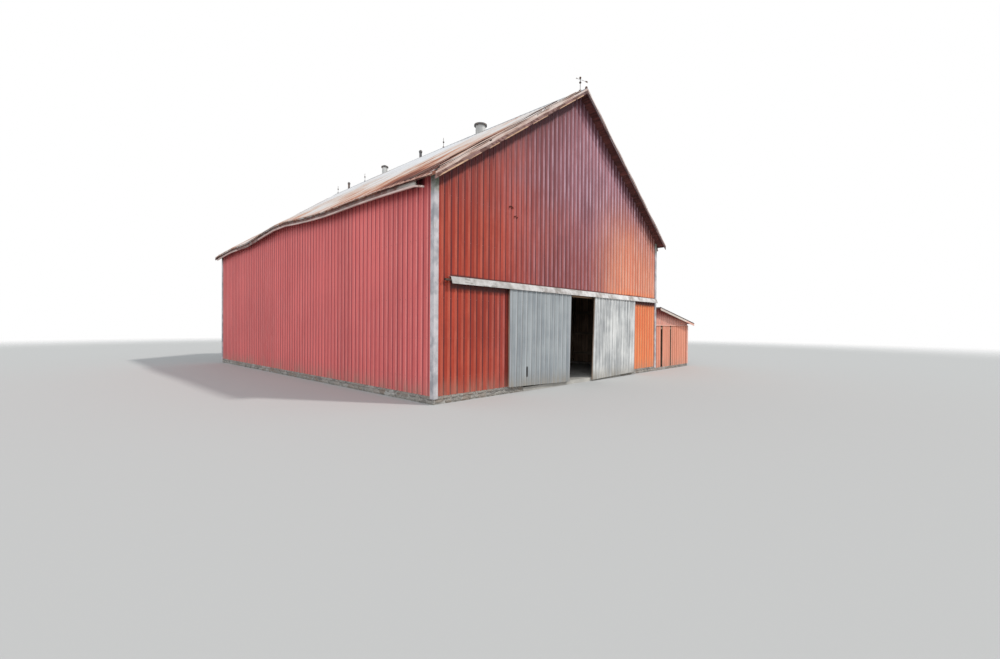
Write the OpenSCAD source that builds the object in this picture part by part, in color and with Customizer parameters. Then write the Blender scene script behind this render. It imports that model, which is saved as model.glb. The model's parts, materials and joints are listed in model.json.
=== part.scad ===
// Timber-framed gable barn in ribbed red metal siding: a warped metal roof, a pair of hooded
// sliding doors in the front gable and a lean-to shed against the right side wall.
// The origin is on the ground in the middle of the barn's plan; the doors face -Y.

/* [Barn] */
// Width of the gable front, over the flat of the siding
barn_width = 12600; // [11400:100:14000]
// Length of the side walls, over the flat of the siding
barn_length = 17600; // [15600:100:20000]
// Height of the roof's top face at the drip edge, before the eave warped
eave_height = 5640; // [5200:50:6400]
// Rise of the roof for each unit of run
roof_slope = 0.69; // [0.55:0.01:0.8]
// Height of the masonry footing that the walls stand on
footing_height = 200; // [140:10:320]
// Width of the masonry footing
footing_width = 320; // [300:10:420]
// Thickness of the floor slab
floor_thick = 120; // [80:10:130]

/* [Siding] */
// Thickness of the wall's boards with the sheet on them, without its ribs
wall_thick = 40; // [30:2:60]
// Distance from rib to rib
rib_pitch = 228.6; // [150:0.1:320]
// Height of a rib
rib_height = 19; // [8:1:28]
// Width of a rib at its foot
rib_foot = 58; // [40:2:90]
// Width of a rib at its crest
rib_crest = 22; // [10:2:36]
// Width of each face of a corner board
corner_board_width = 145; // [100:5:200]
// Thickness of a corner board
corner_board_thick = 35; // [22:1:45]

/* [Timber frame] */
// Side of a wall post
post_side = 200; // [150:10:240]
// Side of an inner post
inner_post_side = 220; // [160:10:260]
// Distance from the middle of the barn to an inner post's axis
inner_post_offset = 3250; // [3000:50:3600]
// Height of a tie beam
tie_depth = 240; // [180:10:300]
// Height of the tie beams' underside above the ground
tie_height = 4500; // [4000:50:4700]
// Length of a knee brace along the post and along the beam
brace_reach = 1000; // [600:50:1300]
// Width of a knee brace
brace_depth = 140; // [90:10:180]
// Height of a girt
girt_depth = 150; // [90:10:200]
// Thickness of a girt
girt_thick = 60; // [40:5:90]
// Depth of a rafter
rafter_depth = 150; // [110:10:200]
// Thickness of a rafter
rafter_thick = 60; // [40:5:80]
// Height of a purlin
purlin_depth = 200; // [150:10:260]
// Distance from the middle of the barn to a purlin's axis
purlin_offset = 3250; // [2800:50:3600]

/* [Roof] */
// Thickness of the boards with the sheet on them, measured upright
roof_thick = 60; // [40:5:90]
// Overhang of the roof past the side walls
eave_over = 250; // [200:10:400]
// Overhang of the roof past the two gables
rake_over = 360; // [250:10:500]
// Height of the hump that the eave has halfway along
eave_hump = 265; // [0:5:300]
// Droop of the eave at the back corner
eave_droop = 180; // [0:10:200]
// Rise of the ridge at mid-length
ridge_crown = 60; // [0:10:120]
// Width of each wing of the ridge cap
cap_wing = 260; // [150:10:350]
// Depth of a rake board
rake_board_depth = 110; // [70:5:180]
// Depth of the eave fascia
fascia_depth = 150; // [130:5:200]
// Distance from the front gable to the broken end of the fascia
fascia_start = 510; // [200:10:900]
// Width of a gutter
gutter_width = 50; // [40:5:110]
// Depth of a gutter
gutter_depth = 45; // [40:5:100]
// Droop of the loose front end of the left gutter
gutter_droop = 85; // [0:5:180]

/* [Sliding doors] */
// Width of the doorway in the front gable
doorway_width = 6000; // [5200:50:6200]
// Distance of the doorway's middle to the right of the gable's middle
doorway_shift = 100; // [0:10:200]
// Height of the doorway's head above the ground
doorway_height = 3050; // [2900:10:3200]
// Width of one door across its top
door_width = 3115; // [2700:5:3140]
// Height of the doors' top edge above the doorway's head
door_lap = 40; // [10:5:45]
// How far the left door's outer edge leans, top to the right
left_outer_lean = 10; // [0:5:60]
// How far the left door's inner edge leans, top to the right
left_inner_lean = 90; // [0:5:160]
// How far the right door's inner edge leans, top to the right
right_inner_lean = 140; // [0:5:160]
// How far the right door's outer edge leans, top to the right
right_outer_lean = 50; // [0:5:100]
// Height of the left door's outer foot above the ground
left_outer_foot = 200; // [40:5:240]
// Height of the left door's inner foot above the ground
left_inner_foot = 110; // [40:5:240]
// Height of the right door's inner foot above the ground
right_inner_foot = 50; // [40:5:240]
// Height of the right door's outer foot above the ground
right_outer_foot = 110; // [40:5:240]
// Distance from the middle of the doorway to the left door's inner foot, as it stands
left_door_open = 695; // [100:5:900]
// Distance from the middle of the doorway to the right door's inner foot, as it stands
right_door_open = 775; // [100:5:900]
// Thickness of a door's timber frame
door_frame_thick = 45; // [30:1:50]
// Width of a stile or rail of a door's frame
frame_bar = 140; // [90:10:180]
// Thickness of a door's sheet, without its ribs
door_sheet_thick = 8; // [4:1:12]
// Height of the ribs on a door's sheet
door_rib_height = 14; // [8:1:18]
// Room between the wall's ribs and the back of a door
door_clear = 45; // [30:1:50]
// Height of the track's middle above the doorway's head
track_rise = 90; // [85:5:135]
// Distance of the track's left end from the left corner
track_start = 270; // [200:10:600]
// Distance of the hood's left end from the left corner
hood_start = 455; // [400:5:700]
// Height of the hood's upper edge above the doorway's head
hood_rise = 195; // [195:5:270]
// Height of the hood, from its lower edge to its upper edge
hood_depth = 200; // [170:5:230]

/* [Roof furniture] */
// Radius of the widest ventilator's stack
vent_radius = 210; // [140:5:250]
// Height of the tallest ventilator above the ridge
vent_height = 360; // [300:10:600]
// Height of a lightning rod above the ridge
rod_height = 480; // [350:10:650]
// Radius of a lightning rod
rod_radius = 9; // [6:1:14]
// Length of the wind vane's arrow
arrow_length = 480; // [300:10:700]
// Angle that the wind vane points to, as it stands
arrow_angle = 163; // [0:1:359]

/* [Lean-to] */
// Width of the lean-to, from the barn's side wall
shed_width = 3800; // [3400:50:4400]
// Length of the lean-to along the barn
shed_length = 4400; // [3600:100:6000]
// Height of its roof's top face against the barn
shed_high = 2880; // [2700:10:3000]
// Fall of its roof for each unit of run
shed_slope = 0.17; // [0.1:0.01:0.2]
// Thickness of its roof, measured upright
shed_roof_thick = 45; // [30:5:70]
// Overhang of its roof in front
shed_rake_over = 260; // [150:10:350]
// Overhang of its roof at the low side
shed_eave_over = 270; // [100:10:300]
// Height of the head of its front panels
shed_head = 2050; // [1900:10:2080]
// Width of the wider gap between its front panels
shed_gap_wide = 200; // [100:10:260]
// Width of the narrower gap between its front panels
shed_gap_narrow = 130; // [60:10:180]

/* [Hidden] */

// Clearance between pieces that seat on each other, and past a warped face
seat = 0.3;
warp_seat = 4;
$fn = 40;

half_w = barn_width / 2;
half_l = barn_length / 2;
door_top = doorway_height + door_lap;
track_height = doorway_height + track_rise;
hood_top = doorway_height + hood_rise;
hood_low = hood_top - hood_depth;
front_y = -half_l;
bays = 4;
rafters_per_bay = 4;
stations = bays * rafters_per_bay;
station_gap = barn_length / stations;
bay_length = barn_length / bays;
roof_half = half_w + eave_over;

// Along the barn, t runs from 0 at the front gable to 1 at the back gable
function clamp01(t) = min(1, max(0, t));
function y_at(t) = front_y + t * barn_length;
function t_at(y) = clamp01((y - front_y) / barn_length);
hump_shape = [
  [0, 0], [0.1, 0.23], [0.2, 0.3], [0.3, 0.25], [0.38, 0.43], [0.43, 0.62], [0.5, 0.96],
  [0.55, 1], [0.63, 0.6], [0.69, 0.23], [0.75, 0], [1, 0]
];
droop_shape = [[0, 0], [0.7, 0.05], [0.75, 0.2], [0.88, 0.2], [0.93, 0.53], [1, 1]];
function eave_lift(t) = eave_hump * lookup(t, hump_shape) - eave_droop * lookup(t, droop_shape);
function ridge_lift(t) = ridge_crown * sin(180 * t);
function eave_top(t) = eave_height + eave_lift(t);
function ridge_top(t) = eave_height + roof_slope * roof_half + ridge_lift(t);

// The roof is straight between stations, as its sheets are between rafters
function station_below(t) = min(stations - 1, floor(t * stations));
function between(a, b, f) = a + (b - a) * f;
function roof_top(x, t) =
  let (
    i = station_below(t),
    f = t * stations - i,
    u = 1 - abs(x) / roof_half,
    low = between(eave_top(i / stations), eave_top((i + 1) / stations), f),
    high = between(ridge_top(i / stations), ridge_top((i + 1) / stations), f)
  )
  low + (high - low) * u;
function roof_under(x, t) = roof_top(x, t) - roof_thick;

station_ts = [for (i = [0 : stations]) i / stations];
roof_ys = concat([front_y - rake_over], [for (t = station_ts) y_at(t)], [half_l + rake_over]);

// Distance from the flat of the wall to the inner faces of its layers
girt_in = wall_thick;
post_in = wall_thick + girt_thick;
plate_depth = 200;
girt_rows = [0.13, 0.48, 0.84];
gable_rows = [0.168, 0.5];
high_girt_drop = 400;

/*
 Shared shapes
*/

// Ribs lie on one grid per wall, clear of the corner boards and of the piece's own ends
function rib_spots(wall_half, from, to) = [
  for (x = [-wall_half + corner_board_width + rib_pitch / 2 : rib_pitch : wall_half
        - corner_board_width - rib_foot / 2])
    if (x > from + rib_foot / 2 + 1 && x < to - rib_foot / 2 - 1) x
];

// Plan of a ribbed sheet: x along the wall, y outward, the flat of the sheet on y = 0
module ribbed_plan(from, to, spots, thick, rise) {
  polygon(concat(
    [[from, -thick], [from, 0]],
    [for (x = spots) each [
      [x - rib_foot / 2, 0], [x - rib_crest / 2, rise], [x + rib_crest / 2, rise],
      [x + rib_foot / 2, 0]
    ]],
    [[to, 0], [to, -thick]]
  ));
}

// Sets a wall plan against each side of the barn
module on_front() { translate([0, front_y, 0]) mirror([0, 1, 0]) children(); }
module on_back() { translate([0, half_l, 0]) children(); }
module on_right() { translate([half_w, 0, 0]) rotate([0, 0, -90]) mirror([1, 0, 0]) children(); }

// An outline drawn in X and Z, made thick along +Y from y
module upright_xz(y, thick) {
  translate([0, y + thick, 0]) rotate([90, 0, 0]) linear_extrude(thick) children();
}

// An outline drawn in Y and Z, made thick along +X from x
module upright_yz(x, thick) {
  translate([x, 0, 0]) rotate([90, 0, 90]) linear_extrude(thick) children();
}

module box_between(low, high) { translate(low) cube(high - low); }

module both_sides() {
  children();
  mirror([1, 0, 0]) children();
}

// A band that follows the roof's underside at distance x from the middle
module eave_band(x, top_gap, depth, from, to) {
  ts = concat([t_at(from)], [for (t = station_ts) if (y_at(t) > from && y_at(t) < to) t], [t_at(to)]);
  polygon(concat(
    [for (t = ts) [y_at(t), roof_under(x, t) - top_gap]],
    [for (i = [len(ts) - 1 : -1 : 0]) [y_at(ts[i]), roof_under(x, ts[i]) - top_gap - depth]]
  ));
}

// A closed solid between stations: section(y) gives the same number of points at each y
module swept(sections) {
  count = len(sections[0]);
  rings = len(sections);
  points = [for (ring = sections) each ring];
  sides = [for (r = [0 : rings - 2], k = [0 : count - 1])
    let (n = (k + 1) % count)
    each [
      [r * count + k, r * count + n, (r + 1) * count + n],
      [r * count + k, (r + 1) * count + n, (r + 1) * count + k]
    ]];
  ends = [
    [for (k = [count - 1 : -1 : 0]) k],
    [for (k = [0 : count - 1]) (rings - 1) * count + k]
  ];
  polyhedron(points, concat(sides, ends));
}

/*
 Ground works
*/

module floor_slab() {
  color([0.55, 0.53, 0.5])
    box_between(
      [-half_w + footing_width + seat, front_y + footing_width + seat, 0],
      [half_w - footing_width - seat, half_l - footing_width - seat, floor_thick]
    );
}

doorway_left = doorway_shift - doorway_width / 2;
doorway_right = doorway_shift + doorway_width / 2;

module footings() {
  inner = half_w - footing_width - seat;
  color([0.6, 0.58, 0.54]) {
    both_sides()
      box_between([half_w - footing_width, front_y, 0], [half_w, half_l, footing_height]);
    box_between([-inner, half_l - footing_width, 0], [inner, half_l, footing_height]);
    box_between([-inner, front_y, 0], [doorway_left, front_y + footing_width, footing_height]);
    box_between([doorway_right, front_y, 0], [inner, front_y + footing_width, footing_height]);
  }
}

threshold_nose = 25;

module threshold() {
  color([0.68, 0.66, 0.6])
    box_between(
      [doorway_left + seat, front_y - threshold_nose, 0],
      [doorway_right - seat, front_y + footing_width, floor_thick]
    );
}

/*
 Walls
*/

wall_foot = footing_height + seat;

module front_piece(from, to, low, high) {
  on_front()
    translate([0, 0, low]) linear_extrude(high - low)
      ribbed_plan(from, to, rib_spots(half_w, from, to), wall_thick, rib_height);
}

module front_wall_left() {
  color([0.62, 0.16, 0.12])
    front_piece(-half_w, doorway_left, wall_foot, doorway_height);
}

module front_wall_right() {
  color([0.62, 0.16, 0.12])
    front_piece(doorway_right, half_w, wall_foot, doorway_height);
}

// The gable's outline, from a given foot up to the underside of the roof at t
module gable_outline(foot, t) {
  polygon([
    [-half_w, foot], [half_w, foot], [half_w, roof_under(half_w, t) - seat],
    [0, roof_under(0, t) - seat], [-half_w, roof_under(half_w, t) - seat]
  ]);
}

// Torn places in the gable's sheet: distance from the middle, height, width and depth
torn_spots = [[-3480, 5460, 210, 85], [-3280, 5210, 180, 70]];

module torn_hole(spot) {
  w = spot[2] / 2;
  d = spot[3] / 2;
  translate([spot[0], spot[1]])
    polygon([[-w, -d], [-w * 0.3, -d * 0.6], [w * 0.5, -d], [w, d * 0.2], [w * 0.2, d], [-w * 0.7, d * 0.5]]);
}

module front_gable() {
  gable_foot = doorway_height + seat;
  color([0.62, 0.16, 0.12])
    difference() {
      intersection() {
        front_piece(-half_w, half_w, gable_foot, ridge_top(0));
        upright_xz(front_y - rib_height - 1, wall_thick + rib_height + 2)
          gable_outline(gable_foot, 0);
      }
      upright_xz(front_y - rib_height - 1, wall_thick + rib_height + 2)
        for (spot = torn_spots) torn_hole(spot);
    }
}

module back_wall() {
  color([0.62, 0.2, 0.17])
    intersection() {
      on_back()
        translate([0, 0, wall_foot]) linear_extrude(ridge_top(1))
          ribbed_plan(-half_w, half_w, rib_spots(half_w, -half_w, half_w), wall_thick, rib_height);
      upright_xz(half_l - wall_thick - 1, wall_thick + rib_height + 2)
        gable_outline(wall_foot, 1);
    }
}

module side_wall_plan() {
  inner = half_l - wall_thick - seat;
  ribbed_plan(-inner, inner, rib_spots(half_l, -inner, inner), wall_thick, rib_height);
}

module side_outline() {
  polygon(concat(
    [[half_l, wall_foot], [front_y, wall_foot]],
    [for (t = station_ts) [y_at(t), roof_under(half_w + rib_height, t) - warp_seat]]
  ));
}

// Slots in a side wall's top for the rafters that pass through it
module rafter_slots() {
  for (i = [1 : stations - 1])
    let (y = rafter_y(i), low = rafter_tail_under(half_w + rib_height, t_at(y)) - seat)
      box_between([-half_w * 2, y - rafter_thick / 2 - seat, low],
        [half_w * 2, y + rafter_thick / 2 + seat, low + 2 * rafter_depth]);
}

module side_wall_solid() {
  difference() {
    intersection() {
      on_right() translate([0, 0, wall_foot]) linear_extrude(eave_height + eave_hump) side_wall_plan();
      upright_yz(half_w - wall_thick - 1, wall_thick + rib_height + 2) side_outline();
    }
    rafter_slots();
  }
}

module left_side_wall() { color([0.66, 0.27, 0.25]) mirror([1, 0, 0]) side_wall_solid(); }
module right_side_wall() { color([0.66, 0.27, 0.25]) side_wall_solid(); }

// One L-shaped corner board, its outer corner towards +X and +Y
module corner_board(height) {
  t = corner_board_thick;
  w = corner_board_width;
  linear_extrude(height)
    polygon([[t, t], [t, t - w], [seat, t - w], [seat, seat], [t - w, seat], [t - w, t]]);
}

module corner_boards() {
  foot = footing_height - 60;
  front_top = roof_under(half_w + corner_board_thick, 0) - 5;
  back_top = roof_under(half_w + corner_board_thick, 1) - 5;
  color([0.82, 0.82, 0.78])
    both_sides() {
      translate([half_w, half_l, foot]) corner_board(back_top - foot);
      mirror([0, 1, 0]) translate([half_w, half_l, foot]) corner_board(front_top - foot);
    }
}

/*
 Timber frame
*/

header_low = doorway_height - 50;
header_depth = 250;

module door_header() {
  color([0.5, 0.42, 0.33])
    box_between(
      [doorway_left - inner_post_side, front_y + wall_thick + seat, header_low],
      [doorway_right + inner_post_side, front_y + post_in, header_low + header_depth]
    );
}

function plate_top(t) = roof_under(half_w - post_in, t) - warp_seat - rafter_depth;
function plate_under(t) = plate_top(t) - plate_depth;
plate_gap = 3;
purlin_gap = 2;

post_x = half_w - post_in - post_side / 2;
bent_ts = [for (i = [0 : bays]) i / bays];
inner_bents = [for (i = [1 : bays - 1]) i / bays];

// The Y of a bent's middle: the end bents stand just inside the gables' girts
function bent_y(t, side) =
  t == 0 ? front_y + post_in + seat + side / 2
  : t == 1 ? half_l - post_in - seat - side / 2
  : y_at(t);
function bent_foot(t) = (t == 0 || t == 1 ? footing_height : floor_thick) + seat;

module post_at(x, y, side, low, high) {
  box_between([x - side / 2, y - side / 2, low], [x + side / 2, y + side / 2, high]);
}

module inner_post(x, t) {
  post_at(x, bent_y(t, inner_post_side), inner_post_side, bent_foot(t), tie_height - seat);
}

module frame_posts() {
  half_bays = [for (i = [0 : 2 * bays]) i / (2 * bays)];
  color([0.42, 0.34, 0.26]) {
    both_sides() {
      for (t = half_bays)
        let (y = bent_y(t, post_side))
          post_at(post_x, y, post_side, wall_foot, plate_low_at(y, post_side));
      for (t = inner_bents) inner_post(inner_post_offset, t);
      inner_post(inner_post_offset, 1);
    }
    inner_post(doorway_left - inner_post_side / 2, 0);
    inner_post(doorway_right + inner_post_side / 2, 0);
  }
}

// The plate's lowest underside over the width of a post
function plate_low_at(y, side) = min(
  plate_under(t_at(y - side / 2)), plate_under(t_at(y + side / 2)), plate_under(t_at(y))
) - seat;

module tie_beams() {
  reach = post_x - post_side / 2 - seat;
  color([0.42, 0.34, 0.26])
    for (t = bent_ts)
      let (y = bent_y(t, inner_post_side))
        box_between([-reach, y - inner_post_side / 2, tie_height],
          [reach, y + inner_post_side / 2, tie_height + tie_depth]);
}

// A brace in the corner under a beam and beside a post at x, towards way
module brace_outline(x, way, head, reach) {
  polygon([
    [x, head - reach], [x + way * reach, head],
    [x + way * (reach - brace_depth * sqrt(2)), head],
    [x, head - reach + brace_depth * sqrt(2)]
  ]);
}

module knee_braces() {
  thick = 70;
  color([0.42, 0.34, 0.26])
    for (t = inner_bents)
      both_sides()
        upright_xz(y_at(t) - thick / 2, thick) {
          brace_outline(inner_post_offset - inner_post_side / 2 - seat, -1, tie_height - seat,
            brace_reach);
          brace_outline(inner_post_offset + inner_post_side / 2 + seat, 1, tie_height - seat,
            brace_reach);
          brace_outline(post_x - post_side / 2 - seat, -1, tie_height - seat, brace_reach);
        }
}

function rafter_under(x, t) = roof_under(x, t) - warp_seat - rafter_depth;

purlin_side = 150;
function purlin_top(t) = rafter_under(purlin_offset + purlin_side / 2, t) - purlin_gap;

module queen_posts() {
  color([0.42, 0.34, 0.26])
    for (t = bent_ts)
      let (y = bent_y(t, inner_post_side))
        both_sides()
          post_at(purlin_offset, y, purlin_side, tie_height + tie_depth + seat,
            purlin_low_at(y, purlin_side));
}

function purlin_low_at(y, side) = min(
  purlin_top(t_at(y - side / 2)), purlin_top(t_at(y + side / 2)), purlin_top(t_at(y))
) - purlin_depth - seat;

module length_band(top_of, depth, inset) {
  from = front_y + inset;
  to = half_l - inset;
  ts = concat([t_at(from)], [for (t = station_ts) if (y_at(t) > from && y_at(t) < to) t], [t_at(to)]);
  polygon(concat(
    [for (t = ts) [y_at(t), top_of(t)]],
    [for (i = [len(ts) - 1 : -1 : 0]) [y_at(ts[i]), top_of(ts[i]) - depth]]
  ));
}

module purlins() {
  color([0.42, 0.34, 0.26]) {
    both_sides()
      upright_yz(purlin_offset - purlin_side / 2, purlin_side)
        length_band(function (t) purlin_top(t), purlin_depth, wall_thick + seat);
    upright_yz(-ridge_beam_thick / 2, ridge_beam_thick)
      length_band(function (t) roof_under(ridge_beam_thick / 2, t) - warp_seat, ridge_beam_depth,
        wall_thick + seat);
  }
}

module wall_plates() {
  color([0.42, 0.34, 0.26])
    both_sides()
      upright_yz(half_w - post_in - post_side, post_side)
        length_band(function (t) plate_top(t) - plate_gap, plate_depth - plate_gap,
          wall_thick + seat);
}

girt_heights = [for (f = girt_rows) footing_height + f * (doorway_height - footing_height)];
high_girts = [tie_height - high_girt_drop];
gable_girts = [for (f = gable_rows) eave_height + f * (ridge_top(0) - eave_height)];

module side_girts() {
  color([0.45, 0.36, 0.27])
    both_sides()
      for (z = concat(girt_heights, high_girts))
        box_between(
          [half_w - post_in + seat, front_y + wall_thick + seat, z],
          [half_w - girt_in - seat, half_l - wall_thick - seat, z + girt_depth]
        );
}

module end_girts() {
  reach = half_w - post_in - seat;
  inner = wall_thick + seat;
  color([0.45, 0.36, 0.27]) {
    for (z = concat(girt_heights, high_girts, gable_girts))
      box_between([-gable_reach(reach, z, 1), half_l - inner - girt_thick, z],
        [gable_reach(reach, z, 1), half_l - inner, z + girt_depth]);
    for (z = girt_heights) {
      box_between([-reach, front_y + inner, z],
        [doorway_left - seat, front_y + inner + girt_thick, min(z + girt_depth, header_low - seat)]);
      box_between([doorway_right + seat, front_y + inner, z],
        [reach, front_y + inner + girt_thick, min(z + girt_depth, header_low - seat)]);
    }
    for (z = concat(high_girts, gable_girts))
      box_between([-gable_reach(reach, z, 0), front_y + inner, z],
        [gable_reach(reach, z, 0), front_y + inner + girt_thick, z + girt_depth]);
  }
}

// Half length of a gable girt at height z, kept under the rafters
function gable_reach(reach, z, t) =
  min(reach, roof_half * (1 - (z + girt_depth + rafter_depth + roof_thick + 20 - eave_top(t))
    / (ridge_top(t) - eave_top(t))));

/*
 Roof
*/

ridge_beam_thick = 50;
ridge_beam_depth = 230;

// A rafter's Y: the end ones lie inside the gable walls
function rafter_y(i) =
  i == 0 ? front_y + wall_thick + seat + rafter_thick / 2
  : i == stations ? half_l - wall_thick - seat - rafter_thick / 2
  : y_at(i / stations);

tail_share = 0.7;
fascia_thick = 25;
fascia_x = roof_half - 62;

// Underside of a rafter's tail, which tapers from the wall's inner face outward
function rafter_tail_under(x, t) =
  let (
    inner = half_w - post_in,
    outer = fascia_x - seat,
    share = (x - inner) / (outer - inner)
  )
  roof_under(x, t) - warp_seat - rafter_depth * (1 - share * (1 - tail_share));

module rafter(i) {
  y = rafter_y(i);
  t = t_at(y);
  tail = i == 0 || i == stations ? half_w - wall_thick - seat : fascia_x - seat;
  head = ridge_beam_thick / 2 + seat;
  inner = half_w - post_in;
  upright_xz(y - rafter_thick / 2, rafter_thick)
    polygon([
      [head, roof_under(head, t) - warp_seat], [tail, roof_under(tail, t) - warp_seat],
      [tail, rafter_tail_under(tail, t)], [inner, rafter_under(inner, t)],
      [head, rafter_under(head, t)]
    ]);
}

module rafters() {
  color([0.45, 0.36, 0.27]) both_sides() for (i = [0 : stations]) rafter(i);
}

// Section of one roof slope at y, from the drip edge to the ridge
function slope_section(y) =
  let (t = t_at(y))
  [
    [0, y, roof_top(0, t)], [roof_half, y, roof_top(roof_half, t)],
    [roof_half, y, roof_under(roof_half, t)], [0, y, roof_under(0, t)]
  ];

module roof_slope_solid() { swept([for (y = roof_ys) slope_section(y)]); }

module roof_right() { color([0.62, 0.5, 0.42]) roof_slope_solid(); }
module roof_left() { color([0.62, 0.5, 0.42]) mirror([1, 0, 0]) roof_slope_solid(); }

cap_thick = 14;
cap_peak = 6;
cap_seat = 0.5;
cap_wing_gap = 3.5;

function cap_section(y) =
  let (t = t_at(y), a = cap_wing)
  [
    [-a, y, roof_top(a, t) + cap_wing_gap], [-a, y, roof_top(a, t) + cap_thick],
    [0, y, roof_top(0, t) + cap_thick + cap_peak], [a, y, roof_top(a, t) + cap_thick],
    [a, y, roof_top(a, t) + cap_wing_gap], [0, y, roof_top(0, t) + cap_seat]
  ];

module ridge_cap() {
  color([0.7, 0.68, 0.64]) swept([for (y = roof_ys) cap_section(y)]);
}

rake_board_thick = 25;

// A board under each slope's edge; the two meet at the ridge
module rake_pair(t, y) {
  both_sides()
    upright_xz(y, rake_board_thick)
      polygon([
        [seat / 2, roof_under(seat, t) - seat], [roof_half, roof_under(roof_half, t) - seat],
        [roof_half, roof_under(roof_half, t) - rake_board_depth],
        [seat / 2, roof_under(seat, t) - rake_board_depth]
      ]);
}

module rake_boards() {
  color([0.66, 0.56, 0.5]) {
    rake_pair(0, front_y - rake_over + 5);
    rake_pair(1, half_l + rake_over - 5 - rake_board_thick);
  }
}

fascia_out = fascia_x + fascia_thick;

module eave_fascia() {
  color([0.84, 0.83, 0.8]) {
    mirror([1, 0, 0])
      upright_yz(fascia_x, fascia_thick)
        eave_band(fascia_out, warp_seat, fascia_depth, front_y + fascia_start, half_l);
    upright_yz(fascia_x, fascia_thick)
      eave_band(fascia_out, warp_seat, fascia_depth, front_y, half_l);
  }
}

gutter_wall = 8;
gutter_x = fascia_out + seat;
gutter_gap = fascia_depth - gutter_depth - 5;
gutter_break = [0.66, 0.82];
function gutter_top(t) = roof_under(roof_half, t) - gutter_gap;

// A gutter's bottom and its two sides, along the points [y, top] given
module gutter_along(points) {
  gutter_plate(0, gutter_width, points, gutter_depth - gutter_wall, gutter_depth);
  gutter_plate(0, gutter_wall, points, 0, gutter_depth);
  gutter_plate(gutter_width - gutter_wall, gutter_width, points, 0, gutter_depth);
}

module gutter_plate(from, to, points, high, low) {
  upright_yz(gutter_x + from, to - from)
    polygon(concat(
      [for (p = points) [p[0], p[1] - high]],
      [for (i = [len(points) - 1 : -1 : 0]) [points[i][0], points[i][1] - low]]
    ));
}

// A gutter's points from one share of the eave to another
function gutter_run(from, to) = [
  for (t = concat([from], [for (t = station_ts) if (t > from && t < to) t], [to]))
    [y_at(t), gutter_top(t)]
];

// The left gutter has a loose front end and lacks a stretch beyond the hump
module gutters() {
  loose = fascia_start / barn_length;
  color([0.86, 0.86, 0.84]) {
    mirror([1, 0, 0]) {
      gutter_along(concat(
        [[front_y + 140, gutter_top(loose) - gutter_droop]], gutter_run(loose, gutter_break[0])
      ));
      gutter_along(gutter_run(gutter_break[1], 1));
    }
    gutter_along(gutter_run(0, 1));
  }
}

/*
 Ridge furniture
*/

vent_share = [0.28, 0.52, 0.702, 0.925];
rod_share = [0.42, 0.82, 1.003];
first_rod_y = front_y - 60;

function ridge_foot(y) = roof_top(0, t_at(y)) + cap_thick + cap_peak;

// A stack with a skirted cap, its foot cut to straddle the ridge
module ventilator(y, r, h) {
  base = ridge_foot(y);
  foot = base - r * roof_slope - 60;
  cap = r * 1.3;
  difference() {
    translate([0, y, 0])
      union() {
        translate([0, 0, foot]) cylinder(h = base + h - foot - 60, r = r);
        translate([0, 0, base + h - 110]) cylinder(h = 60, r = cap);
        translate([0, 0, base + h - 50.01]) cylinder(h = 50, r1 = cap, r2 = r * 0.7);
      }
    upright_xz(y - r - 1, 2 * r + 2) saddle_outline(y, r);
  }
}

vent_seat = 0.5;

// The roof's highest top at distance x from the middle, from y - r to y + r
function highest(x, y, r) = max(roof_top(x, t_at(y - r)), roof_top(x, t_at(y)), roof_top(x, t_at(y + r)));

// Everything under the ridge cap's faces, drawn out past the ventilator
module saddle_outline(y, r) {
  reach = 2 * r;
  peak = highest(0, y, r) + cap_thick + cap_peak + vent_seat;
  wing = highest(cap_wing, y, r) + cap_thick + vent_seat;
  side = peak - (peak - wing) * reach / cap_wing;
  polygon([
    [-reach, side - reach], [reach, side - reach], [reach, side], [0, peak], [-reach, side]
  ]);
}

// Each ventilator's radius and height as shares of the largest: two stacks and two thin pipes
vent_sizes = [[1, 0.95], [0.3, 0.91], [0.68, 1], [0.28, 0.98]];

module ventilators() {
  color([0.7, 0.72, 0.72])
    for (i = [0 : len(vent_share) - 1])
      ventilator(y_at(vent_share[i]), vent_radius * vent_sizes[i][0], vent_height * vent_sizes[i][1]);
}

ball_radius = 38;

module rod(y, height, balls) {
  translate([0, y, ridge_foot(y) + vent_seat]) {
    cylinder(h = 20, r = 45);
    cylinder(h = height, r = rod_radius);
    for (share = balls) translate([0, 0, height * share]) sphere(r = ball_radius);
  }
}

vane_base = ridge_foot(first_rod_y) + rod_height * 0.75;
pin_radius = 6;
pin_height = rod_height * 0.22;

module lightning_rods() {
  color([0.3, 0.3, 0.32]) {
    rod(first_rod_y, vane_base - ridge_foot(first_rod_y) - vent_seat, [0.8]);
    translate([0, first_rod_y, vane_base - 1]) cylinder(h = pin_height, r = pin_radius);
    for (s = rod_share) rod(y_at(s), rod_height * 0.9, [0.55]);
  }
}

// A hub with a ball on top, and an arrow through it: a shaft, a head and a forked tail
module wind_vane() {
  hub = pin_height * 0.6;
  shaft = 5;
  head = arrow_length * 0.35;
  tail = arrow_length - head;
  color([0.28, 0.28, 0.3])
    translate([0, first_rod_y, vane_base + seat])
      rotate([0, 0, arrow_angle])
        difference() {
          union() {
            cylinder(h = hub, r = pin_radius + 7);
            translate([0, 0, hub + ball_radius * 0.7]) sphere(r = ball_radius);
            translate([0, 0, hub * 0.5]) {
              translate([-tail, 0, 0]) rotate([0, 90, 0]) cylinder(h = arrow_length, r = shaft);
              upright_xz(-3, 6)
                polygon([[head - 30, -24], [head + 30, 0], [head - 30, 24]]);
              upright_xz(-3, 6)
                polygon([
                  [90 - tail, 0], [65 - tail, 26], [-tail - 30, 26], [-tail - 6, 0],
                  [-tail - 30, -26], [65 - tail, -26]
                ]);
            }
          }
          translate([0, 0, -1]) cylinder(h = pin_height + 2, r = pin_radius + 0.08);
        }
}

/*
 Track and doors
*/

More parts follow.
